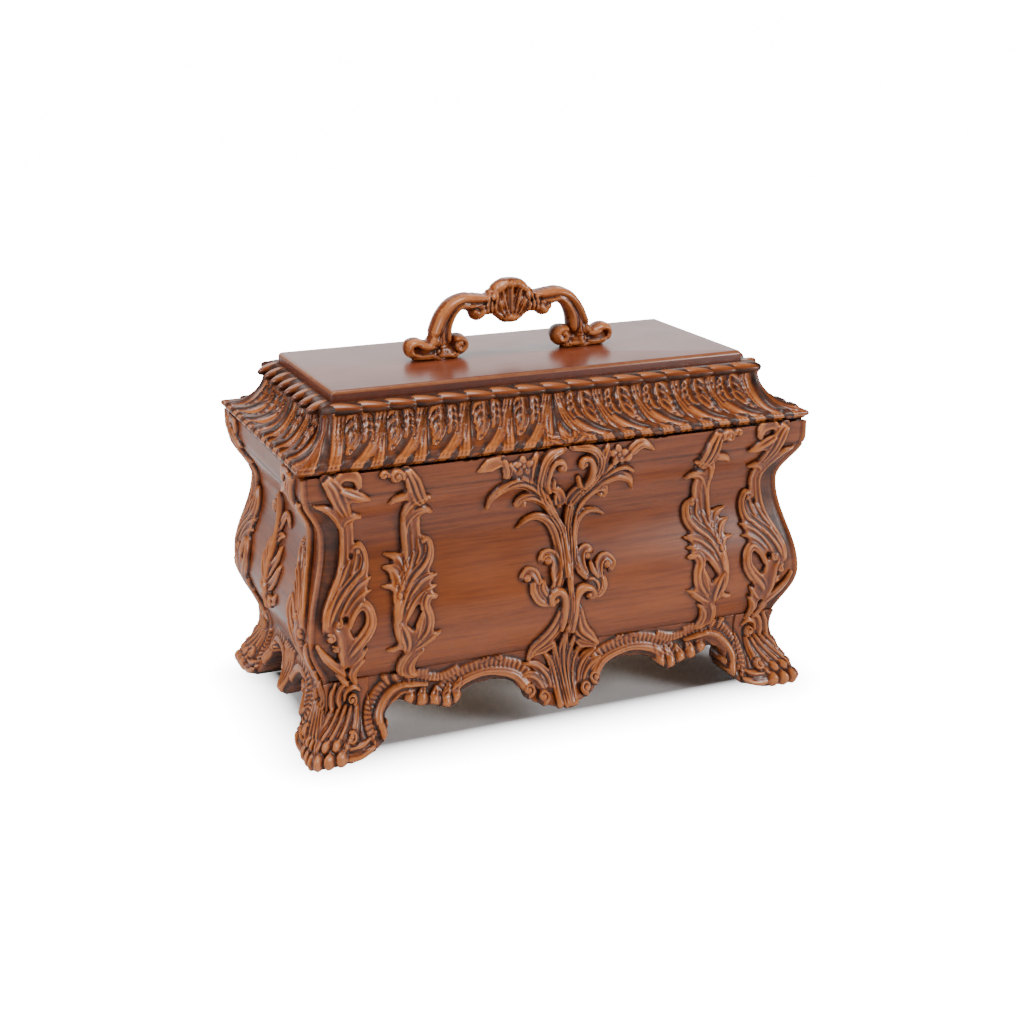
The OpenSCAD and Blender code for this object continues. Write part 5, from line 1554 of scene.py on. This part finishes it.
    def applied(self) -> None:
        """The sprays, the hanging leaves and the corner leaves."""
        spray, drop, corner, end = Motifs.spray(), Motifs.leaf_drop(), Motifs.corner_drop(), Motifs.end_spray()
        f, b, l, r = Side.FRONT, Side.BACK, Side.LEFT, Side.RIGHT
        for name, node, canvas, places in (
                ("carved_front_spray", "front_spray", spray, ((f, False, 0.5),)),
                ("carved_back_spray", "back_spray", spray, ((b, False, 0.7),)),
                ("carved_left_end_spray", "left_end_spray", end, ((l, False, 0.5),)),
                ("hanging_leaves", "leaf_drops", drop,
                 ((f, False, 0.5), (f, True, 0.5), (b, False, 0.8), (b, True, 0.8))),
                ("carved_corner_leaves_front", "corner_leaves_front", corner,
                 ((f, False, 0.55), (f, True, 0.55), (l, False, 0.55), (r, True, 0.55))),
                ("carved_corner_leaves_back", "corner_leaves_back", corner,
                 ((b, False, 0.7), (b, True, 0.7), (l, True, 0.7), (r, False, 0.7)))):
            shell = Shell()
            for side, flip, step in places:
                shell.add(*self.relief(canvas, side, flip, step, share=canvas is corner))
            shell.build(name, self.finishes.carved_upright, "case", "carved_wood", [node])


# The lid
@dataclass
class Lid:
    """The ribbed cove lid with its leaf-carved edge, polished top and handle."""

    finishes: Finishes
    half_w: float = 150.0
    half_d: float = 82.0
    low: float = 163.4
    shoulder: float = 190.0
    lip_r: float = 3.5
    cove_start: float = 2.9
    cove_in: float = 20.5
    board_in: float = 28.2
    board_z0: float = 194.0
    board_z1: float = 200.0
    ledge_in: float = 38.2
    ledge_z: float = 184.0
    wall: float = 24.0
    top: float = 242.0

    @classmethod
    def from_frame(cls, finishes: Finishes) -> "Lid":
        """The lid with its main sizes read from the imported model."""
        frame_box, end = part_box("lid_front_frame"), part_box("lid_left_frame")
        board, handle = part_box("lid_top_board"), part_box("handle")
        return cls(finishes, half_w=-float(end[0][0]) / MM, half_d=-float(frame_box[0][1]) / MM,
                   low=float(frame_box[0][2]) / MM, board_z1=float(board[1][2]) / MM, top=float(handle[1][2]) / MM)

    def build(self) -> None:
        """Make every piece of the lid."""
        self.frames()
        self.gadroons()
        self.board()
        self.handle()

    def profile(self) -> tuple[Array, Array, Array]:
        """The outer section from the shoulder down: stand-in, height, and distance from the shoulder."""
        a = np.radians(np.linspace(90, 6, 60))
        span = self.shoulder - self.low - 2 * self.lip_r
        off = self.cove_start + (self.cove_in - self.cove_start) * np.sin(a)
        z = self.shoulder - span * np.cos(a)
        b = np.radians(np.linspace(76, -84, 26))
        off = np.concatenate([off, self.lip_r - self.lip_r * np.cos(b)])
        z = np.concatenate([z, self.low + self.lip_r + self.lip_r * np.sin(b)])
        t = np.concatenate([[0], np.cumsum(np.hypot(np.diff(off), np.diff(z)))])
        even = np.linspace(0, t[-1], 72)
        return np.interp(even, t, off), np.interp(even, t, z), even

    def frames(self) -> None:
        """The four mitred cove frames."""
        off, z, t = self.profile()
        d_off, d_z = np.gradient(off), np.gradient(z)
        length = np.hypot(d_off, d_z)
        n_off, n_z = d_z / length, -d_off / length
        inner = ((self.wall, self.low + 0.02), (self.wall, self.ledge_z), (self.ledge_in, self.ledge_z),
                 (self.ledge_in, self.board_z0), (self.board_in, self.board_z0), (self.board_in, self.shoulder))
        long, short = Motifs.long_cove(), Motifs.short_cove()
        for side in Side:
            ref, half = side.halves(self.half_w, self.half_d)
            canvas = long if side.long else short
            n = int(2 * half / 0.68) | 1
            share = np.linspace(-1, 1, n)
            q, tt = np.meshgrid(share, t)
            o, zz = np.broadcast_to(off[:, None], q.shape), np.broadcast_to(z[:, None], q.shape)
            u = q * (half - o)
            gap = (1 - np.abs(q)) * (half - o)
            fade = np.clip((gap - 0.8) / 3, 0, 1)
            h = canvas.height_at(u, tt) * fade + 0.9 * (1 - fade)
            h = h + 0.5 * np.sqrt(np.clip(1 - (gap / 1.6) ** 2, 0, 1))
            ends = np.clip(np.minimum(tt / 2.0, (t[-1] - tt) / 5.0), 0, 1)
            h = np.minimum(h * ends, o + 3.0 * (tt < 32))
            o2 = np.maximum(o - h * n_off[:, None], 0.0)
            outer = side.turned(q * (half - o2), -(ref - o2), zz - h * n_z[:, None])
            rest = np.stack([side.turned(share * (half - a), np.full(n, -(ref - a)), np.full(n, b)) for a, b in inner])
            grid = np.concatenate([outer, rest])
            number = numbered(len(grid), n)
            below = np.roll(number, -1, axis=0)
            faces = np.stack([number[:, 1:], number[:, :-1], below[:, :-1], below[:, 1:]], -1).reshape(-1, 4).tolist()
            faces.append(number[:, 0].tolist())
            faces.append(number[::-1, -1].tolist())
            wear_and_painted_light = np.concatenate([(canvas.wear_and_painted_light_at(u, tt) * fade).ravel(), np.zeros(len(inner) * n)])
            wood = self.finishes.carved_long if side.long else self.finishes.carved_short
            name = f"lid_{side.name.lower()}_frame"
            make_piece("carved_" + name, grid.reshape(-1, 3), faces, wood, "lid", [name], wear_and_painted_light)

    def gadroons(self) -> None:
        """The rope of overlapping leaves round the top, over a plain bead."""
        section = np.array([(20.6, 190.02), (20.2, 191.4), (20.6, 192.8), (22.0, 193.8), (24.6, 194.2), (28.1, 194.2),
                            (28.1, 190.02)])
        shell = Shell()
        for side in Side:
            ref, half = side.halves(self.half_w, self.half_d)
            share = np.array([-1.0, 1.0])
            grid = np.stack([side.turned(share * (half - o), np.full(2, -(ref - o)), np.full(2, z))
                             for o, z in section])
            m = len(section)
            faces = [[2 * i, 2 * i + 1, 2 * ((i + 1) % m) + 1, 2 * ((i + 1) % m)] for i in range(m)]
            # The bead under the leaf rope is painted dark all over, as painted shade under the leaves.
            shell.add(grid, np.array(faces), np.full(2 * m, -0.4))
            base = shell.count - 2 * m
            shell.faces.append([base + 2 * i for i in range(m)][::-1])
            shell.faces.append([base + 2 * i + 1 for i in range(m)])
        shell.build("edge_bead", self.finishes.carved_long, "lid", "carved_wood", ["gadroon_strips"])
        self.leaf_rope()

    def leaf_rope(self) -> None:
        """Overlapping leaves repeated along the four strips."""
        rows, cols = 20, 28
        v = np.linspace(0.02, np.pi - 0.02, rows)
        w = np.linspace(0, 2 * np.pi, cols, endpoint=False)
        vv, ww = np.meshgrid(v, w, indexing="ij")
        x = np.cos(vv)
        ring = np.sin(vv) ** 0.8
        swell = 1 - 0.18 * x
        y = ring * np.cos(ww) * swell
        z = ring * np.sin(ww) * swell
        crease = 0.16 * np.exp(-((y / 0.16) ** 2)) * (z > 0) * (1 - np.abs(x))
        z = z - crease
        verts = np.stack([x * 10.6, y * 3.9, z * 3.2], -1).reshape(-1, 3)
        # Each leaf is painted lighter on top and darker below and in its crease: painted light and shade.
        wear_and_painted_light = np.clip(0.75 * (z - 0.42) - 1.2 * crease, -0.6, 0.5).ravel()
        number = numbered(rows, cols)
        nxt = np.roll(number, -1, axis=1)
        faces = np.stack([number[:-1], number[1:], nxt[1:], nxt[:-1]], -1).reshape(-1, 4).tolist()
        faces.append(number[0].tolist())
        faces.append(number[-1][::-1].tolist())
        leaf = new_mesh("leaf", verts, faces, wear_and_painted_light)
        mid, height, pitch = 22.6, 191.3, 14.6
        for side in Side:
            ref, half = side.halves(self.half_w, self.half_d)
            run = 2 * (half - mid) - 5
            count = int(round(run / pitch))
            step = run / count
            quarter = side.value * 90.0
            lean = 20.0 if side.long else 52.0
            turn = Matrix.Rotation(math.radians(quarter), 4, "Z")
            first = turn @ (Vector((-(run - step) / 2, -(ref - mid), height)) * MM)
            row = Repeat(count=count, start=tuple(first), step=tuple(turn @ Vector((step * MM, 0, 0))),
                         turn=(0.0, 0.0, math.radians(quarter - lean)), swell=0.06, seed=side.value + 1)
            row.make(leaf, "leaf_rope_" + side.name.lower(), self.finishes.carved_long, "lid",
                     ["gadroon_strips"])

    def board(self) -> None:
        """The polished top with its softened edge."""
        bx, by = self.half_w - self.board_in - 0.05, self.half_d - self.board_in - 0.05
        r = 2.2
        rings = [(0.0, self.board_z0 + 0.03), (0.0, self.board_z1 - r)]
        for a in np.linspace(15, 90, 6):
            rings.append((r - r * math.cos(math.radians(a)), self.board_z1 - r + r * math.sin(math.radians(a))))
        corner = 2.5
        loop = []
        for cx, cy, a0 in ((1, 1, 0), (-1, 1, 90), (-1, -1, 180), (1, -1, 270)):
            for a in np.linspace(a0, a0 + 90, 7):
                loop.append((cx, cy, math.cos(math.radians(a)), math.sin(math.radians(a))))
        verts, wear_and_painted_light = [], []
        for inset, z in rings:
            for cx, cy, ca, sa in loop:
                reach = max(corner - inset, 0.3)
                verts.append((cx * (bx - corner) + reach * ca, cy * (by - corner) + reach * sa, z))
                # The board's upright edge is painted darker and its rounded edge lighter.
                wear_and_painted_light.append(-0.16 if inset == 0 else 0.3 if inset < 1.4 else 0.0)
        n, m = len(loop), len(rings)
        faces = [[i * n + j, i * n + (j + 1) % n, (i + 1) * n + (j + 1) % n, (i + 1) * n + j]
                 for i in range(m - 1) for j in range(n)]
        faces.append(list(range(n))[::-1])
        faces.append([(m - 1) * n + j for j in range(n)])
        obj = make_piece("polished_top", verts, faces, self.finishes.polished, "lid", ["lid_top_board"],
                         wear_and_painted_light)
        obj.data.set_sharp_from_angle(angle=math.radians(50))

    def handle(self) -> None:
        """The carved bail handle: front and back from the same carving."""
        canvas = Motifs.handle(self.board_z1, self.top)
        step = 0.5
        u = np.arange(-63.5, 63.6, step)
        z = np.linspace(self.board_z1 + 0.02, self.top, int((self.top - self.board_z1) / step) + 1)
        uu, zz = np.meshgrid(u, z)
        keep = canvas.height_at(uu[:-1, :-1] + step / 2, zz[:-1, :-1] + step / 2) > 1.0
        uu, zz = eased_outline(uu, zz, keep, 5)
        zz = np.clip(zz, self.board_z1 + 0.02, self.top)
        h = np.clip(canvas.height_at(uu, zz), 1.2, 8.0)
        front = np.stack([uu, -h, zz], -1)
        back = np.stack([uu, h, zz], -1)
        verts, faces, tone = closed_patch(front, back, keep, canvas.wear_and_painted_light_at(uu, zz))
        tone = np.where(tone == BACK_PAINTED_SHADE, canvas.wear_and_painted_light_at(verts[:, 0], verts[:, 2]), tone)
        tone = np.where(np.abs(verts[:, 1]) < 5.2, np.maximum(tone, 0.0), tone)
        make_piece("bail_handle", verts, faces, self.finishes.carved_upright, "lid", ["handle"], tone)


# Repeats
@dataclass
class Repeat:
    """A row of equal pieces, repeated by a node tree.

    The tree's inputs are the row's count, start, step, turn, swell and seed.
    """

    count: int
    start: Colour
    step: Colour
    turn: Colour
    swell: float
    seed: int

    @staticmethod
    def tree() -> bpy.types.NodeTree:
        """The node tree that repeats its geometry along a line."""
        tree = bpy.data.node_groups.get("repeat_along_line")
        if tree is not None:
            return tree
        tree = bpy.data.node_groups.new("repeat_along_line", "GeometryNodeTree")
        face = tree.interface
        for name, kind in (("Geometry", "NodeSocketGeometry"), ("Count", "NodeSocketInt"),
                           ("Start", "NodeSocketVector"), ("Step", "NodeSocketVector"), ("Turn", "NodeSocketVector"),
                           ("Swell", "NodeSocketFloat"), ("Seed", "NodeSocketInt"),
                           ("Material", "NodeSocketMaterial")):
            face.new_socket(name=name, in_out="INPUT", socket_type=kind)
        face.new_socket(name="Geometry", in_out="OUTPUT", socket_type="NodeSocketGeometry")
        n = Nodes(tree)
        given, out = n.add("NodeGroupInput").outputs, n.add("NodeGroupOutput")
        line = n.add("GeometryNodeMeshLine", {"Count": given["Count"], "Start Location": given["Start"],
                                              "Offset": given["Step"]}, mode="OFFSET")
        chance = n.add("FunctionNodeRandomValue", data_type="FLOAT")
        for op, socket in zip(("SUBTRACT", "ADD"), [s for s in chance.inputs if s.enabled]):
            tree.links.new(n.math(op, 1.0, given["Swell"]), socket)
        n.fill(chance, {"Seed": given["Seed"]})
        spread = next(s for s in chance.outputs if s.enabled)
        size = n.add("ShaderNodeCombineXYZ", {0: 1.0, 1: spread, 2: 1.0})
        put = n.add("GeometryNodeInstanceOnPoints", {"Points": line.outputs["Mesh"], "Instance": given["Geometry"],
                                                     "Rotation": given["Turn"], "Scale": size.outputs[0]})
        real = n.add("GeometryNodeRealizeInstances", {0: put.outputs[0]})
        paint = n.add("GeometryNodeSetMaterial", {"Geometry": real.outputs[0], "Material": given["Material"]})
        n.fill(out, {"Geometry": paint.outputs[0]})
        return tree

    def make(self, item: bpy.types.Mesh, name: str, material: bpy.types.Material, body: str,
             stands_for: Sequence[str]) -> bpy.types.Object:
        """Repeat an item and keep the result as a plain mesh.

        Args:
            item: the mesh that is repeated.
            name: the piece's name.
            material: its finish.
            body: the body it rides on.
            stands_for: CAD nodes that it replaces.

        Returns:
            The new object.
        """
        tree = self.tree()
        work = new_object(name + "_row", item)
        mod = work.modifiers.new("repeat", "NODES")
        mod.node_group = tree
        keys = {s.name: s.identifier for s in tree.interface.items_tree if getattr(s, "in_out", "") == "INPUT"}
        for key, value in (("Count", self.count), ("Start", self.start), ("Step", self.step), ("Turn", self.turn),
                           ("Swell", self.swell), ("Seed", self.seed), ("Material", material)):
            mod[keys[key]] = value
        work.update_tag()
        graph = bpy.context.evaluated_depsgraph_get()
        mesh = bpy.data.meshes.new_from_object(work.evaluated_get(graph))
        bpy.data.objects.remove(work)
        return fasten(new_object(name, mesh), body, stands_for)


# Velvet
@dataclass
class VelvetPads:
    """Padded velvet in the compartment and under the lid's top."""

    finishes: Finishes

    def pad(self, shell: Shell, corner: Array, along: Array, up: Array, out: Array) -> None:
        """Add a crowned pad.

        Args:
            shell: the piece that it is added to.
            corner: a corner of its flat back.
            along: its first side.
            up: its second side.
            out: its thickness, towards the room.
        """
        n = 30
        s, t = np.meshgrid(np.linspace(-1, 1, n), np.linspace(-1, 1, n))
        crown = np.clip((1 - np.abs(s) ** 5) * (1 - np.abs(t) ** 5), 0, 1) ** 0.45
        pucker = 1 - 0.05 * np.cos(7 * s) * np.cos(5 * t)
        height = np.clip(0.45 + 0.55 * crown * pucker, 0, 1)
        base = corner + (s[..., None] + 1) / 2 * along + (t[..., None] + 1) / 2 * up
        pull = 0.012 * (1 - crown)
        face = base + height[..., None] * out - pull[..., None] * (s[..., None] * along + t[..., None] * up) * 0.5
        shell.add(*closed_patch(face, base, np.ones((n - 1, n - 1), bool), np.zeros_like(s)))

    def build(self) -> None:
        """Make the pads of the compartment and of the lid."""
        t = 2.0
        lo, hi = (np.array(v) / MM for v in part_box("compartment_lining"))
        shell = Shell()
        size = hi - lo
        ex, ey, ez = np.eye(3)
        self.pad(shell, lo, ex * size[0], ey * size[1], ez * t)
        z0 = lo + ez * (t + 0.1)
        rise = ez * (size[2] - t - 0.1)
        self.pad(shell, z0 + ex * size[0], -ex * size[0], rise, ey * t)
        self.pad(shell, z0 + ey * size[1], ex * size[0], rise, -ey * t)
        self.pad(shell, z0 + ey * (t + 0.1), ey * (size[1] - 2 * t - 0.2), rise, ex * t)
        self.pad(shell, z0 + ex * size[0] + ey * (size[1] - t - 0.1), -ey * (size[1] - 2 * t - 0.2), rise, -ex * t)
        obj = shell.build("compartment_velvet", self.finishes.velvet, "case", "velvet", ["compartment_lining"])
        lo, hi = (np.array(v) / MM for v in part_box("lid_lining"))
        size = hi - lo
        shell = Shell()
        self.pad(shell, lo + ez * size[2] + ey * size[1], ex * size[0], -ey * size[1], -ez * size[2])
        obj = shell.build("lid_velvet", self.finishes.velvet, "lid", "velvet", ["lid_lining"])


# Plain pieces kept from the model
def dress_model(frame: dict, finishes: Finishes) -> None:
    """Give every kept node of the model its finish.

    Args:
        finishes: the finishes.
    """
    wanted = {
        finishes.carved_short: ("partition",),
        finishes.bare: ("bottom_board", "glue_blocks", "soundboard", "soundboard_cleats"),
        finishes.knob: ("crank_knob",),
        finishes.velvet: ("compartment_lining", "lid_lining"),
        finishes.steel: ("foot_screws", "movement_screws", "comb", "comb_screws", "crank_shaft", "knob_pin",
                         "idler_arbor", "cylinder_pins", "cylinder_arbor", "handle_screws"),
        finishes.brass: ("bedplate", "cylinder_bracket", "train_plates", "comb_base", "crank_bush",
                         "crank_escutcheon", "hinge_fixed_leaves", "hinge_moving_leaves", "hinge_screws_case",
                         "hinge_screws_lid", "hinge_pins", "crank_pinion",
                         "crank_arm", "crank_nut", "idler_wheel", "cylinder_drum", "cylinder_wheel"),
    }
    for material, names in wanted.items():
        for name in names:
            mesh = frame["nodes"][name].data
            mesh.materials.clear()
            mesh.materials.append(material)


# Camera, light and floor
@dataclass(frozen=True)
class View:
    """Where the camera stands and how it looks, in millimetres and degrees."""

    eye: Colour = (-350.32, -843.83, 395.19)
    yaw: float = 22.605
    pitch: float = -17.709
    roll: float = -0.430
    lens: float = 57.17
    sensor: float = 36.0

    def build(self) -> None:
        """Place the camera."""
        yaw, pitch, roll = (math.radians(a) for a in (self.yaw, self.pitch, self.roll))
        ahead = Vector((math.sin(yaw) * math.cos(pitch), math.cos(yaw) * math.cos(pitch), math.sin(pitch)))
        right = ahead.cross(Vector((0, 0, 1))).normalized()
        up = right.cross(ahead)
        r2 = right * math.cos(roll) + up * math.sin(roll)
        u2 = up * math.cos(roll) - right * math.sin(roll)
        data = bpy.data.cameras.new("camera")
        data.lens, data.sensor_width = self.lens, self.sensor
        camera = new_object("camera", data)
        turn = Matrix((r2, u2, -ahead)).transposed().to_4x4()
        camera.matrix_world = Matrix.Translation(Vector(self.eye) * MM) @ turn
        bpy.context.scene.camera = camera


@dataclass(frozen=True)
class Studio:
    """Soft light over a white floor."""

    ambient: float = 0.11
    backdrop: float = 16.0
    floor: Colour = (0.82, 0.82, 0.83)

    def lamp(self, name: str, place: Colour, size: float, power: float) -> None:
        """A soft square lamp that looks at the box.

        Args:
            name: its name.
            place: where it stands, in metres.
            size: its side.
            power: its power in watts.
        """
        data = bpy.data.lights.new(name, "AREA")
        data.energy, data.size = power, size
        lamp = new_object(name, data)
        lamp.location = place
        lamp.rotation_euler = (Vector((0, 0, 0.1)) - Vector(place)).to_track_quat("-Z", "Y").to_euler()

    def build(self) -> None:
        """Set up the light and the floor."""
        world = bpy.data.worlds.new("studio")
        world.use_nodes = True
        n = Nodes(world.node_tree)
        background = world.node_tree.nodes["Background"]
        seen = n.add("ShaderNodeLightPath").outputs["Is Camera Ray"]
        n.fill(background, {0: (1.0, 1.0, 1.0, 1.0), 1: n.remap(seen, 0.0, 1.0, self.ambient, self.backdrop)})
        bpy.context.scene.world = world
        self.lamp("key", (1.45, -1.5, 0.75), 0.7, 37.0)
        self.lamp("side", (-1.7, -0.15, 0.75), 0.7, 18.0)
        self.lamp("top", (-0.3, -0.1, 1.7), 0.9, 30.0)
        self.lamp("back", (0.5, 2.2, 0.9), 2.2, 22.0)
        self.floor_plane()

    def floor_plane(self) -> None:
        """The floor, which glows white to the camera away from the box; the glow fades out over a band round the
        footprint, painting the floor darker round the box's real shadow.
        """
        mesh = bpy.data.meshes.new("floor")
        mesh.from_pydata([(6 * x, 6 * y, -0.0005) for x, y in ((-1, -1), (1, -1), (1, 1), (-1, 1))], [], [(0, 1, 2, 3)])
        floor = new_object("floor", mesh)
        mat, n, bsdf = new_material("floor")
        parts = n.add("ShaderNodeSeparateXYZ", {0: n.place()})
        gaps = [n.math("MAXIMUM", n.math("SUBTRACT", n.math("ABSOLUTE", n.math("SUBTRACT", part, mid)), half), 0.0)
                for part, mid, half in ((parts.outputs[0], 0.0, 0.13), (parts.outputs[1], 0.0, 0.06))]
        squares = [n.math("MULTIPLY", g, g) for g in gaps]
        away = n.math("SQRT", n.math("ADD", squares[0], squares[1]))
        # Glow for camera rays only, fading to nothing over 45 mm round the footprint: a painted shadow round the box.
        bright = n.math("POWER", n.remap(away, 0.0, 0.045), 1.2)
        seen = n.add("ShaderNodeLightPath").outputs["Is Camera Ray"]
        glow = n.math("MULTIPLY", n.math("MULTIPLY", bright, seen), self.backdrop)
        n.fill(bsdf, {"Emission Strength": glow, "Emission Color": (1.0, 1.0, 1.0, 1.0),
                      "Base Color": (*self.floor, 1.0), "Roughness": 0.7})
        mesh.materials.append(mat)


def main() -> None:
    """Build the music box."""
    logging.basicConfig(level=logging.INFO, format="%(message)s")
    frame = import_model()
    View().build()
    Studio().build()
    finishes = Finishes()
    dress_model(frame, finishes)
    Case(finishes, CaseShape.from_frame()).build()
    Lid.from_frame(finishes).build()
    VelvetPads(finishes).build()


if __name__ == "__main__":
    main()
